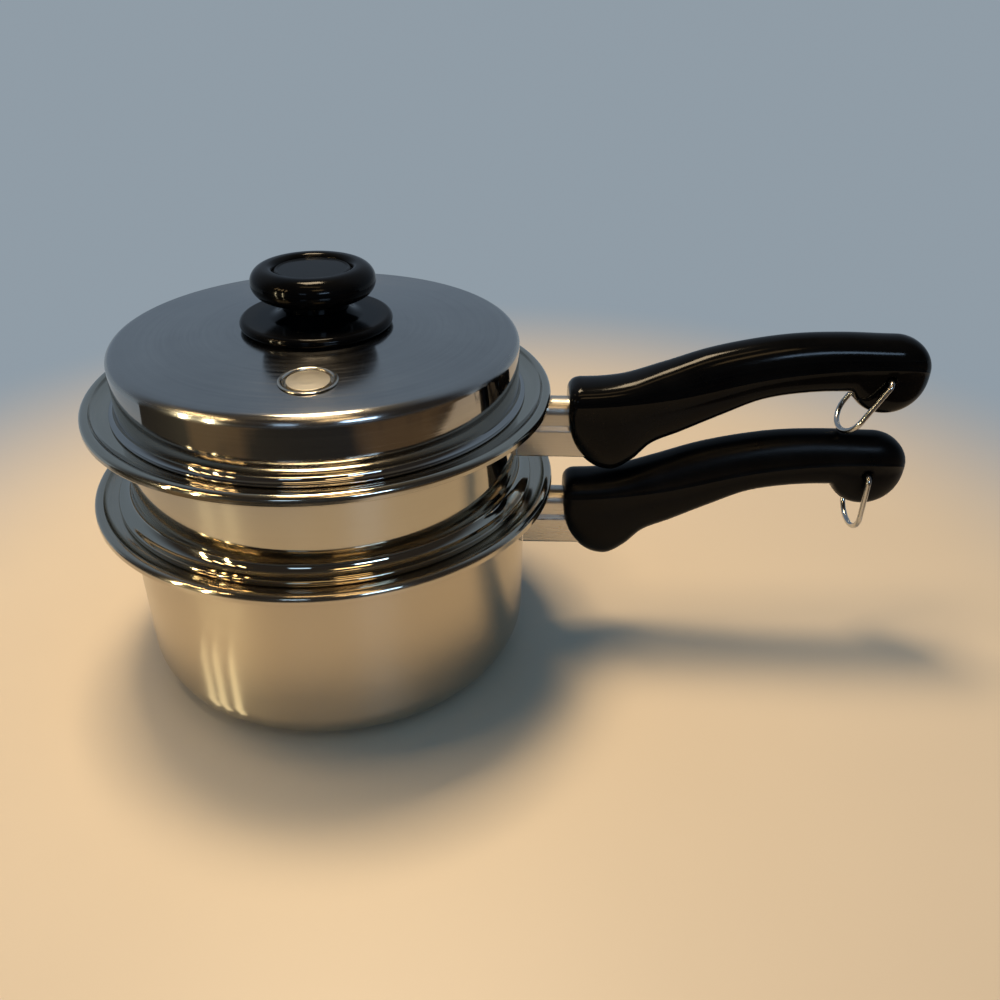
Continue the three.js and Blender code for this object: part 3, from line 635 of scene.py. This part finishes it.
def make_lid():
    """The lid's shell, with holes for the knob's screw and the valve."""
    shoulder = lid_top - LID_CROWN
    profile = [
        (0, lid_top - SHEET),
        (KNOB_SEAT_R, lid_top - SHEET),
        (lid_wall_r - SHEET, shoulder - SHEET, LID_CORNER - SHEET),
        (lid_wall_r - SHEET, lid_bottom, EDGE_R),
        (lid_bead_r, lid_bottom, 2 * EDGE_R),
        (lid_bead_r, lid_bottom + LID_BEAD_H, EDGE_R),
        (lid_wall_r, lid_bottom + LID_BEAD_H, LID_COVE_R),
        (lid_wall_r, shoulder, LID_CORNER, BIG_ARC_STEPS),
        (KNOB_SEAT_R, lid_top, KNOB_SEAT_R),
        (0, lid_top),
    ]
    screw_hole = drum("screw_hole", KNOB_SCREW_R + FIT_GAP, lid_top - 3 * SHEET, lid_top + SHEET)
    valve_hole = drum("valve_hole", seat_tube_r + FIT_GAP, -3 * SHEET, 3 * SHEET, valve_place())
    shell = cut_away(revolve("lid_shell_fine", profile), screw_hole, valve_hole)
    stand_for(shell, "lid_shell", "lid", lid_steel)


# ---- Knob

def make_knob():
    """The knob, from its saucer up to the disc in its top, and its fastenings."""
    saucer_low, saucer_high = span("knob_saucer")
    cap_low, cap_high = span("knob_cap")
    disc_low, disc_high = span("knob_top_disc")
    bush_low, bush_high = span("knob_bush")
    washer_low, washer_high = span("knob_washer")
    screw_low, screw_high = span("knob_screw")
    base, saucer_r, saucer_top = saucer_low[2], saucer_high[0], saucer_high[2]
    bore_r = KNOB_SCREW_R + FIT_GAP
    bush_r = bush_high[0]
    saucer = revolve("knob_saucer_fine", [
        (bore_r, base),
        (saucer_r, base, SAUCER_EDGE / 2),
        (saucer_r, base + SAUCER_EDGE, SAUCER_EDGE / 2),
        (WAIST_R + saucer_top - base - SAUCER_EDGE, base + SAUCER_EDGE, saucer_top - base, BIG_ARC_STEPS),
        (WAIST_R, saucer_top, EDGE_R),
        (bore_r, saucer_top),
    ], KNOB_SIDES, ring=True)
    stand_for(saucer, "knob_saucer", "lid", knob_black)

    cap_r, cap_bottom, cap_top = cap_high[0], cap_low[2], cap_high[2]
    cap_under = base + KNOB_UNDER
    cap_round = (cap_top - cap_under) / 2
    recess_r, recess = disc_high[0] + FIT_GAP, cap_top - KNOB_RECESS
    cap = revolve("knob_cap_fine", [
        (bush_r + FIT_GAP, cap_bottom),
        (WAIST_R, cap_bottom, EDGE_R),
        (WAIST_R, cap_under, EDGE_R + BEND_R),
        (cap_r, cap_under, cap_round, BIG_ARC_STEPS),
        (cap_r, cap_top, cap_round, BIG_ARC_STEPS),
        (recess_r, cap_top, KNOB_DISH_R, BIG_ARC_STEPS),
        (recess_r, recess),
        (bore_r, recess),
        (bore_r, bush_high[2] + FIT_GAP),
        (bush_r + FIT_GAP, bush_high[2] + FIT_GAP),
    ], KNOB_SIDES, ring=True)
    stand_for(cap, "knob_cap", "lid", knob_black)

    disc_r, disc_bottom = disc_high[0], disc_low[2]
    disc_top = disc_high[2] - DISC_RING_H
    disc = revolve("knob_top_disc_fine", [
        (0, disc_bottom),
        (disc_r, disc_bottom),
        (disc_r, disc_top, EDGE_R / 2),
        (disc_r - DISC_RING_W / 2, disc_high[2], DISC_RING_W),
        (disc_r - DISC_RING_W, disc_top, DISC_RING_W),
        (0, disc_top),
    ], KNOB_SIDES)
    stand_for(disc, "knob_top_disc", "lid", knob_black)

    bush = revolve("knob_bush_fine", [
        (bore_r, bush_low[2], EDGE_R),
        (bush_r, bush_low[2], EDGE_R),
        (bush_r, bush_high[2], EDGE_R),
        (bore_r, bush_high[2]),
    ], SMALL_SIDES, ring=True)
    stand_for(bush, "knob_bush", "lid", bush_brass)
    washer = revolve("knob_washer_fine", [
        (bore_r, washer_low[2]),
        (washer_high[0], washer_low[2], EDGE_R),
        (washer_high[0], washer_high[2], EDGE_R),
        (bore_r, washer_high[2]),
    ], SMALL_SIDES, ring=True)
    stand_for(washer, "knob_washer", "lid", fastener_steel)
    screw = make_screw("knob_screw_fine", KNOB_SCREW_R, KNOB_SCREW_HEAD_R, KNOB_SCREW_HEAD_H,
                       screw_low[2], screw_high[2], (0, 0))
    stand_for(screw, "knob_screw", "lid", fastener_steel)


def make_screw(name, shank_r, head_r, head_h, bottom, top, at):
    """A pan-head screw with a cross recess, head down."""
    head_top = bottom + head_h
    place = Matrix.Translation(Vector((at[0], at[1], 0)) * MM)
    screw = revolve(name, [
        (0, bottom),
        (head_r, bottom, BEND_R),
        (head_r, head_top, EDGE_R / 2),
        (shank_r, head_top),
        (shank_r, top, EDGE_R),
        (0, top),
    ], SMALL_SIDES, place)
    reach, half = head_r * SLOT_REACH, SLOT_W / 2
    slots = [block("slot", (-x, -y, bottom - CUT_OVER), (x, y, bottom + SLOT_DEPTH), place)
             for x, y in ((reach, half), (half, reach))]
    return cut_away(screw, *slots)


# ---- Steam valve

def make_valve():
    """The valve: a seat in the lid, and a loose disc with a clip below."""
    place = valve_place()
    bore_r = VALVE_STEM_R + VALVE_VENT_GAP
    crest = FIT_GAP + SEAT_LIP_H
    clinch_top = -SHEET - FIT_GAP
    clinch_bottom = clinch_top - SEAT_CLINCH_T
    clinch_r = seat_tube_r + SEAT_CLINCH_W
    floor_top = clinch_bottom + SEAT_FLOOR_T
    seat = revolve("valve_seat_fine", [
        (bore_r, clinch_bottom),
        (clinch_r, clinch_bottom, EDGE_R),
        (clinch_r, clinch_top),
        (seat_tube_r, clinch_top),
        (seat_tube_r, FIT_GAP),
        (SEAT_R, FIT_GAP),
        (SEAT_R, crest, SEAT_LIP_W / 2),
        (seat_well_r, crest, SEAT_LIP_W / 2),
        (seat_well_r, floor_top),
        (bore_r, floor_top),
    ], SMALL_SIDES, place, ring=True)
    stand_for(seat, "valve_seat", "lid", valve_steel)

    disc_r = seat_well_r - VALVE_SIDE_GAP
    disc_bottom = floor_top + FIT_GAP
    disc_top = disc_bottom + VALVE_DISC_T
    clip_top = clinch_bottom - VALVE_TRAVEL
    clip_bottom = clip_top - CLIP_T
    groove_r = VALVE_STEM_R - CLIP_GROOVE
    tail = clip_bottom - FIT_GAP - STEM_TAIL
    disc = revolve("valve_disc_fine", [
        (0, tail),
        (VALVE_STEM_R, tail, EDGE_R),
        (VALVE_STEM_R, clip_bottom - FIT_GAP),
        (groove_r, clip_bottom - FIT_GAP),
        (groove_r, clip_top + FIT_GAP),
        (VALVE_STEM_R, clip_top + FIT_GAP),
        (VALVE_STEM_R, disc_bottom),
        (disc_r, disc_bottom, EDGE_R / 2),
        (disc_r, disc_top, EDGE_R),
        (disc_r / 2, disc_top + DOME_HALFWAY * VALVE_DOME, disc_r),
        (0, disc_top + VALVE_DOME),
    ], SMALL_SIDES, place)
    stand_for(disc, "valve_disc", "valve", valve_satin)
    clip = revolve("valve_clip_fine", [
        (groove_r + FIT_GAP, clip_bottom),
        (CLIP_R, clip_bottom, EDGE_R / 2),
        (CLIP_R, clip_top, EDGE_R / 2),
        (groove_r + FIT_GAP, clip_top),
    ], SMALL_SIDES, place, ring=True)
    stand_for(clip, "valve_clip", "valve", fastener_steel)


# ---- Handles

def line_through(points):
    """A smooth line through points ordered by x, level at both ends."""
    slopes = [0.0] * len(points)
    for i in range(1, len(points) - 1):
        slopes[i] = (points[i + 1][1] - points[i - 1][1]) / (points[i + 1][0] - points[i - 1][0])

    def at(x):
        if x <= points[0][0]:
            return points[0][1]
        if x >= points[-1][0]:
            return points[-1][1]
        i = max(k for k, point in enumerate(points) if point[0] <= x)
        (x0, z0), (x1, z1) = points[i], points[i + 1]
        wide = x1 - x0
        t = (x - x0) / wide
        rise = t * t * (3 - 2 * t)
        leave, arrive = t * (1 - t) ** 2 * slopes[i], t * t * (t - 1) * slopes[i + 1]
        return z0 + (z1 - z0) * rise + wide * (leave + arrive)

    return at


top_line = line_through([(0, GRIP_TOP_START), *((s * bulb_x, z) for s, z in GRIP_TOP), (bulb_x, BULB_Z + BULB_R)])
under_line = line_through([(LOBE_X, LOBE_Z), *((s * bulb_x, z) for s, z in GRIP_UNDER)])
widest_line = line_through([(s * bulb_x, z) for s, z in GRIP_WIDEST])


def front_loss(round_r, x):
    """How far a rounded edge falls back at a distance from the grip's end."""
    return round_r - math.sqrt(round_r ** 2 - max(0.0, round_r - x) ** 2)


def grip_section(x):
    """Half width, top, bottom and widest height of the grip at a distance from its end."""
    beyond = max(0.0, x - bulb_x) / BULB_R
    tail = math.sqrt(max(0.0, 1 - beyond ** 2))
    taper = min(1.0, x / (GRIP_TAPER_SHARE * bulb_x))
    half_w = (GRIP_HALF_W + (GRIP_TAIL_HALF_W - GRIP_HALF_W) * taper - front_loss(GRIP_SIDE_ROUND, x)) * tail
    middle = BULB_Z + (widest_line(x) - BULB_Z) * tail
    if beyond > 0:
        return half_w, BULB_Z + BULB_R * tail, BULB_Z - BULB_R * tail, middle
    ahead = max(0.0, LOBE_X - x) / LOBE_X
    lobe = LOBE_SHOULDER_Z + (LOBE_Z - LOBE_SHOULDER_Z) * math.sqrt(1 - ahead ** 2)
    bottom = lobe if x < LOBE_X else under_line(x)
    drop = math.sqrt(max(0.0, BULB_R ** 2 - (x - bulb_x) ** 2))
    if drop:
        bottom = min(bottom, BULB_Z - drop)
    return half_w, top_line(x) - front_loss(GRIP_TOP_ROUND, x), bottom, middle


def grip_ring(x):
    """One section of the grip, with the mould's seam standing a little proud on both sides."""
    half_w, top, bottom, middle = grip_section(x)
    fade = min(1.0, (top - bottom) / BULB_R)
    points = []
    for k in range(GRIP_SIDES):
        angle = 2 * math.pi * k / GRIP_SIDES
        if k in (0, GRIP_SIDES // 2):
            side = 1 if k == 0 else -1
            for step in SEAM_STEPS:
                lift = SEAM_PROUD * fade if abs(step) < 1 else 0
                points.append((x, side * (half_w + lift), middle + side * step * SEAM_HALF * fade))
            continue
        upper = math.sin(angle) > 0
        power = 2 / (GRIP_TOP_SQUARENESS if upper else GRIP_UNDER_SQUARENESS)
        y = half_w * math.copysign(abs(math.cos(angle)) ** power, math.cos(angle))
        z = middle + (top - middle if upper else middle - bottom) * math.copysign(
            abs(math.sin(angle)) ** power, math.sin(angle))
        points.append((x, y, z))
    return points


def grip_places():
    """Distances along the grip: close at its round ends, even between."""
    quarter = math.pi / 2
    front = [LOBE_X * (1 - math.cos(quarter * k / GRIP_END_STEPS)) for k in range(GRIP_END_STEPS)]
    middle = [LOBE_X + (bulb_x - LOBE_X) * k / GRIP_STEPS for k in range(GRIP_STEPS)]
    tail = [bulb_x + BULB_R * math.sin(quarter * k / GRIP_TAIL_QUARTER) for k in range(GRIP_END_STEPS + 1)]
    return front + middle + tail


def bracket_outside(margin, foot=0):
    """The bracket's outside from its lower left, over the dome, to its lower right."""
    channel, dome = BRACKET_HALF_W + margin, BRACKET_DOME_R + margin
    step, bottom = BRACKET_STEP_Z + margin, BRACKET_BOTTOM_Z - margin
    crown = [(dome * math.cos(a), -BRACKET_DOME_R + dome * math.sin(a))
             for a in (math.pi - math.pi * k / CROWN_STEPS for k in range(CROWN_STEPS + 1))]
    lower = [(foot - channel, bottom), (-channel, bottom, foot)] if foot else [(-channel, bottom)]
    bevel = [(-channel, step - BRACKET_BEVEL, BRACKET_EDGE_R), (-dome, step, BRACKET_EDGE_R / 2)]
    left = outline([*lower, *bevel, crown[0]])
    right = [Vector((-p.x, p.y)) for p in reversed(left)]
    return left[:-1] + [Vector(p) for p in crown] + right[1:]


def bracket_inside():
    """The bracket's inner face, from lower right to lower left."""
    outer = bracket_outside(-BRACKET_WALL)
    for point in (outer[0], outer[-1]):
        point.y = BRACKET_BOTTOM_Z
    return list(reversed(outer))


def make_bracket(prefix, wall_r, height):
    """A handle's bracket, from the curve of the wall into the grip."""
    section = bracket_outside(0, BRACKET_FOOT_R) + bracket_inside()
    reach = wall_r + FIT_GAP
    end = grip_x + BRACKET_TANG
    rings = []
    for share in [k / BRACKET_STEPS for k in range(BRACKET_STEPS + 1)]:
        ring = []
        for y, z in section:
            start = math.sqrt(reach ** 2 - y ** 2)
            ring.append((start + (end - start) * share, y, z + height))
        rings.append(ring)
    piece = loft(f"{prefix}_bracket_fine", rings)
    stand_for(piece, f"{prefix}_bracket", prefix, bracket_steel)


def make_grip(prefix, height, material):
    """A grip, with its pocket for the bracket, its screw's bore and its ring's hole."""
    place = Matrix.Translation(Vector((grip_x, 0, height)) * MM)
    pocket_end = BRACKET_TANG + FIT_GAP
    pocket_section = bracket_outside(FIT_GAP)
    pocket = loft("pocket", [[(x, y, z) for y, z in pocket_section] for x in (-BRACKET_TANG, pocket_end)], place)
    skin_z = grip_section(SCREW_X)[2]
    head_top = span(f"{prefix}_grip_screw")[0][2] - height + SCREW_HEAD_H
    screw_at = place @ Matrix.Translation(Vector((SCREW_X, 0, 0)) * MM)
    bore = drum("bore", SCREW_R + FIT_GAP, skin_z - BULB_R, BRACKET_BOTTOM_Z + CUT_OVER, screw_at)
    counterbore = drum("counterbore", SCREW_HEAD_R + FIT_GAP, skin_z - BULB_R, head_top + FIT_GAP, screw_at)
    pivot = Vector(joint_at[f"{prefix}_ring_swing"])
    hole_r = WIRE_R + PIVOT_CLEARANCE
    side = GRIP_TAIL_HALF_W
    hole = revolve("pivot_hole", [
        (0, -2 * side),
        (hole_r + 2 * PIVOT_FLARE, -2 * side),
        (hole_r + PIVOT_FLARE, -side, PIVOT_FLARE),
        (hole_r, PIVOT_FLARE - side, PIVOT_FLARE),
        (hole_r, side - PIVOT_FLARE, PIVOT_FLARE),
        (hole_r + PIVOT_FLARE, side, PIVOT_FLARE),
        (hole_r + 2 * PIVOT_FLARE, 2 * side),
        (0, 2 * side),
    ], SMALL_SIDES, Matrix.Translation(pivot) @ Matrix.Rotation(math.radians(90), 4, "X"))
    skin = loft(f"{prefix}_grip_fine", [grip_ring(x) for x in grip_places()], place)
    grip = cut_away(skin, pocket, bore, counterbore, hole)
    stand_for(grip, f"{prefix}_grip", prefix, material)


def make_ring(prefix):
    """A hanging ring: a wire bent in at both ends, leaning as its CAD node does."""
    pivot = Vector(joint_at[f"{prefix}_ring_swing"]) / MM
    low = span(f"{prefix}_hang_ring")[0]
    lean = math.asin(max(0.0, min(1.0, (pivot.x - low[0] - WIRE_R) / RING_LENGTH)))
    half = GRIP_TAIL_HALF_W + RING_SIDE_GAP + WIRE_R
    shank = RING_LENGTH - RING_BOW
    leg = outline([(RING_PIN - half, 0), (-half, 0, RING_BEND), (-half, -shank)])
    bow = [Vector((-half * math.cos(a), -shank - RING_BOW * math.sin(a)))
           for a in (math.pi * k / BOW_STEPS for k in range(BOW_STEPS + 1))]
    route = leg[:-1] + bow + [Vector((-p.x, p.y)) for p in reversed(leg[:-1])]
    rings = []
    for i, here in enumerate(route):
        along = (route[min(i + 1, len(route) - 1)] - route[max(i - 1, 0)]).normalized()
        across = Vector((0, along.y, -along.x))
        centre = Vector((0, here.x, here.y))
        ring = []
        for k in range(WIRE_SIDES):
            angle = 2 * math.pi * k / WIRE_SIDES
            ring.append(centre + WIRE_R * (math.cos(angle) * Vector((1, 0, 0)) + math.sin(angle) * across))
        rings.append(ring)
    place = Matrix.Translation(pivot * MM) @ Matrix.Rotation(lean, 4, "Y")
    piece = loft(f"{prefix}_hang_ring_fine", rings, place)
    stand_for(piece, f"{prefix}_hang_ring", f"{prefix}_ring", wire_steel)


def make_nut(prefix):
    """The nut inside a bracket, bored for the grip's screw."""
    low, high = span(f"{prefix}_bracket_nut")
    middle = Matrix.Translation(Vector(((low[0] + high[0]) / 2, 0, 0)) * MM)
    hole = drum("nut_bore", SCREW_R + FIT_GAP, low[2] - CUT_OVER, high[2] + CUT_OVER, middle)
    nut = cut_away(block(f"{prefix}_bracket_nut_fine", low, high), hole)
    edges = nut.modifiers.new("edges", "BEVEL")
    edges.width, edges.segments, edges.limit_method = EDGE_R * MM, NUT_EDGE_STEPS, "ANGLE"
    stand_for(nut, f"{prefix}_bracket_nut", prefix, fastener_steel)


def make_handle(prefix, wall_r, height, material):
    """One handle: its bracket, grip, nut, screw and ring."""
    make_bracket(prefix, wall_r, height)
    make_grip(prefix, height, material)
    make_nut(prefix)
    low, high = span(f"{prefix}_grip_screw")
    screw = make_screw(f"{prefix}_grip_screw_fine", SCREW_R, SCREW_HEAD_R, SCREW_HEAD_H, low[2], high[2],
                       (grip_x + SCREW_X, 0))
    stand_for(screw, f"{prefix}_grip_screw", prefix, fastener_steel)
    make_ring(prefix)


# ---- Studio

# Camera
CAMERA_AT = (84.5, -393.0, 313.8)
CAMERA_PITCH = math.radians(31.02)
CAMERA_ROLL = math.radians(0.87)
LENS = 32.4
CLIP_START_M = 0.01

# Floor, and how far from the object it turns into the backdrop, in metres
FLOOR_R = 6000
FLOOR_DARK, FLOOR_LIGHT = (0.7, 0.575, 0.42), (0.74, 0.61, 0.45)
FLOOR_ROUGH_LOW, FLOOR_ROUGH_HIGH = 0.4, 0.5
FLOOR_CLOUD_SCALE, FLOOR_CLOUD_DETAIL = 3.0, 4.0
NEAR_M, FAR_M = 0.27, 0.55
OBJECT_CENTRE_M = (0.087, 0, 0)

# Dark card in front, and the stretches in metres over which it turns brown
FLAG_EDGE = ((-330, 0), (-300, -150), (-160, -290), (0, -318), (178, -312), (490, 0))
FLAG_REACH = 12
FLAG_HEIGHT = 1
FLAG_DARK, FLAG_BROWN = (0.008, 0.008, 0.009), (0.13, 0.08, 0.034)
FLAG_ROUGH = 0.9
BROWN_ASIDE, BROWN_AHEAD, BROWN_NEAR = (0.1, 0.22), (-0.03, 0.1), (-0.75, -0.5)
BROWN_SLANT = 0.5
BROWN_PATCH_SCALE, BROWN_PATCH_LOW, BROWN_PATCH_HIGH = 9.0, 0.4, 1.0

# Room, with the ways Y and Z over which its parts blend
BACKDROP = (0.28, 0.335, 0.385, 1)
ROOM_BACK = (0.2, 0.255, 0.325, 1)
ROOM_DIM = (0.035, 0.03, 0.026, 1)
CEILING = (0.09, 0.077, 0.058, 1)
AMBIENT = (0.11, 0.2, 0.31, 1)
BACK_WAY, CEILING_WAY = (-0.2, 0.4), (0.8, 0.97)

# Lamps: places and sizes in metres, powers in watts
KEY, GOLD, WARM, COOL = (1.0, 0.78, 0.5), (1.0, 0.66, 0.3), (1.0, 0.84, 0.5), (0.5, 0.72, 1.0)
TARGET_M, PAN_WALL_M = (0.05, 0, 0.1), (0, 0, 0.05)
GLARES = (((-56, -86), (-111, -94)), ((-49, -90), (-102, -107)), ((-41, -95), (-88, -121)))
GLARE_HEIGHT, GLARE_WIDTH_M, GLARE_POWER = 1, 0.005, 0.001


def make_camera():
    """The camera of the photograph, fitted to the rims."""
    ahead = Vector((0, math.cos(CAMERA_PITCH), -math.sin(CAMERA_PITCH)))
    level = Vector((1, 0, 0))
    lift = level.cross(ahead)
    right = level * math.cos(CAMERA_ROLL) + lift * math.sin(CAMERA_ROLL)
    up = right.cross(ahead)
    data = bpy.data.cameras.new("camera")
    data.lens = LENS
    data.clip_start = CLIP_START_M
    camera = bpy.data.objects.new("camera", data)
    turn = Matrix((right, up, -ahead)).transposed().to_4x4()
    camera.matrix_world = Matrix.Translation(Vector(CAMERA_AT) * MM) @ turn
    bpy.context.scene.collection.objects.link(camera)
    bpy.context.scene.camera = camera


def seen_directly(tree):
    """1 for what the camera, metal and glass see, 0 for what lights the object."""
    path = add(tree, "ShaderNodeLightPath").outputs
    shown = math_node(tree, "MAXIMUM", path["Is Camera Ray"], path["Is Glossy Ray"])
    return math_node(tree, "MAXIMUM", shown, path["Is Transmission Ray"])


def ease(tree, value, start, end):
    """0 to 1 between two values, level at both ends."""
    return add(tree, "ShaderNodeMapRange", {"Value": value, "From Min": start, "From Max": end},
               interpolation_type="SMOOTHSTEP").outputs["Result"]


def make_floor():
    """Pale floor that keeps the shadows near the object and runs out into an even backdrop."""
    corners = [(x * FLOOR_R, y * FLOOR_R, 0) for x, y in ((-1, -1), (1, -1), (1, 1), (-1, 1))]
    floor = finish_mesh("floor", corners, [[0, 1, 2, 3]])
    material, tree, surface = shader("floor_pale")
    place = place_of(tree)
    cloud = noise(tree, place, FLOOR_CLOUD_SCALE, FLOOR_CLOUD_DETAIL)
    tree.links.new(shades(tree, cloud, FLOOR_DARK, FLOOR_LIGHT), surface.inputs["Base Color"])
    tree.links.new(remap(tree, cloud, FLOOR_ROUGH_LOW, FLOOR_ROUGH_HIGH), surface.inputs["Roughness"])
    away = add(tree, "ShaderNodeVectorMath", {0: place, 1: OBJECT_CENTRE_M}, operation="DISTANCE").outputs["Value"]
    far = math_node(tree, "MULTIPLY", ease(tree, away, NEAR_M, FAR_M), seen_directly(tree))
    even = add(tree, "ShaderNodeEmission", {"Color": BACKDROP})
    blend = add(tree, "ShaderNodeMixShader", {0: far, 1: surface.outputs["BSDF"], 2: even.outputs["Emission"]})
    tree.links.new(blend.outputs["Shader"], tree.nodes["Material Output"].inputs["Surface"])
    floor.data.materials.append(material)


def make_flag():
    """A dark card round the front of the object, seen only in reflections, as the room beyond a table's edge."""
    near = [(x, y, FLAG_HEIGHT) for x, y in FLAG_EDGE]
    far = [(x * FLAG_REACH, y * FLAG_REACH, FLAG_HEIGHT) for x, y in FLAG_EDGE]
    count = len(near)
    flag = finish_mesh("flag", near + far, [[k, k + 1, count + k + 1, count + k] for k in range(count - 1)])
    material, tree, surface = shader("flag_dark")
    place = place_of(tree)
    parts = add(tree, "ShaderNodeSeparateXYZ", {"Vector": place}).outputs
    aside = math_node(tree, "ABSOLUTE", parts["X"], 0.0)
    ahead = math_node(tree, "SUBTRACT", math_node(tree, "MULTIPLY", parts["X"], BROWN_SLANT), parts["Y"])
    brown = math_node(tree, "MULTIPLY", ease(tree, aside, *BROWN_ASIDE), ease(tree, ahead, *BROWN_AHEAD))
    brown = math_node(tree, "MULTIPLY", brown, ease(tree, parts["Y"], *BROWN_NEAR))
    patches = remap(tree, noise(tree, place, BROWN_PATCH_SCALE), BROWN_PATCH_LOW, BROWN_PATCH_HIGH)
    brown = math_node(tree, "MULTIPLY", brown, patches)
    tree.links.new(shades(tree, brown, FLAG_DARK, FLAG_BROWN), surface.inputs["Base Color"])
    surface.inputs["Roughness"].default_value = FLAG_ROUGH
    flag.data.materials.append(material)
    flag.visible_camera = False
    flag.visible_diffuse = False
    flag.visible_shadow = False


def make_world():
    """A backdrop behind the object, a dim room in front, a warm ceiling, and a low even light from all sides."""
    world = bpy.data.worlds.new("studio")
    bpy.context.scene.world = world
    world.use_nodes = True
    tree = world.node_tree
    way = add(tree, "ShaderNodeSeparateXYZ", {"Vector": add(tree, "ShaderNodeTexCoord").outputs["Generated"]}).outputs

    def mix(share, first, second):
        return add(tree, "ShaderNodeMixRGB", {"Fac": share, "Color1": first, "Color2": second}).outputs["Color"]

    walls = mix(ease(tree, way["Y"], *BACK_WAY), ROOM_DIM, ROOM_BACK)
    room = mix(ease(tree, way["Z"], *CEILING_WAY), walls, CEILING)
    shown = mix(seen_directly(tree), AMBIENT, room)
    camera = add(tree, "ShaderNodeLightPath").outputs["Is Camera Ray"]
    tree.links.new(mix(camera, shown, BACKDROP), tree.nodes["Background"].inputs["Color"])


def make_lamp(name, at, size, power, colour, aim=TARGET_M, lights=False, shows=True):
    """A lamp that lights the object and the floor, shows in reflections, or both."""
    data = bpy.data.lights.new(name, "AREA")
    data.shape, data.size, data.size_y = "RECTANGLE", size[0], size[1]
    data.energy, data.color = power, colour
    lamp = bpy.data.objects.new(name, data)
    lamp.location = at
    lamp.rotation_euler = (Vector(aim) - Vector(at)).to_track_quat("-Z", "Y").to_euler()
    lamp.visible_camera = False
    lamp.visible_diffuse = lights
    lamp.visible_glossy = shows
    bpy.context.scene.collection.objects.link(lamp)
    return lamp


def make_lamp_row(name, count, first, step, radius, height, **settings):
    """Lamps on an arc round the object, by degrees from +X."""
    for k in range(count):
        azimuth = math.radians(first + step * k)
        at = (radius * math.cos(azimuth), radius * math.sin(azimuth), height)
        make_lamp(f"{name}_{k}", at, **settings)


def make_glare(name, near, far):
    """A thin light lying on the floor and facing up, as a lamp's glare on a table. Its ends are in millimetres."""
    near, far = Vector((*near, GLARE_HEIGHT)) * MM, Vector((*far, GLARE_HEIGHT)) * MM
    along = far - near
    lamp = make_lamp(name, (near + far) / 2, (along.length, GLARE_WIDTH_M), GLARE_POWER, WARM)
    lamp.rotation_euler = (math.pi, 0, math.atan2(along.y, along.x))


def make_studio():
    """The camera, floor, card, room and lamps."""
    bpy.context.scene.view_settings.view_transform = "Standard"
    make_camera()
    make_floor()
    make_flag()
    make_world()
    make_lamp("lamp_key", at=(-0.08, 0.21, 1.2), size=(0.3, 0.3), power=12, colour=KEY, lights=True)
    make_lamp("lamp_left", at=(-0.25, -0.1, 1.2), size=(0.3, 0.3), power=4, colour=KEY, lights=True, shows=False)
    make_lamp("lamp_front", at=(0.0, -0.4, 1.2), size=(0.5, 0.12), power=0.8, colour=GOLD)
    make_lamp("lamp_right", at=(0.3, -0.85, 1.0), size=(0.35, 0.14), power=0.9, colour=GOLD)
    make_lamp_row("lamp_spot", count=4, first=-156, step=7.5, radius=0.95, height=0.75,
                  size=(0.02, 0.18), power=0.4, colour=GOLD)
    make_lamp_row("lamp_strip", count=2, first=-149, step=14, radius=0.8, height=0.2,
                  size=(0.012, 0.36), power=1.6, colour=WARM, aim=PAN_WALL_M)
    for k, ends in enumerate(GLARES):
        make_glare(f"lamp_glare_{k}", *ends)
    make_lamp("lamp_window_left", at=(-0.25, -1.55, 0.7), size=(0.3, 0.22), power=0.6, colour=COOL)
    make_lamp("lamp_window_right", at=(0.8, -1.45, 0.75), size=(0.5, 0.16), power=4.5, colour=COOL)


make_pan_body()
make_insert_body()
make_lid()
make_knob()
make_valve()
make_handle("pan", pan_wall_r, pan_handle_z, satin_black)
make_handle("insert", insert_wall_r, insert_handle_z, gloss_black)
make_studio()
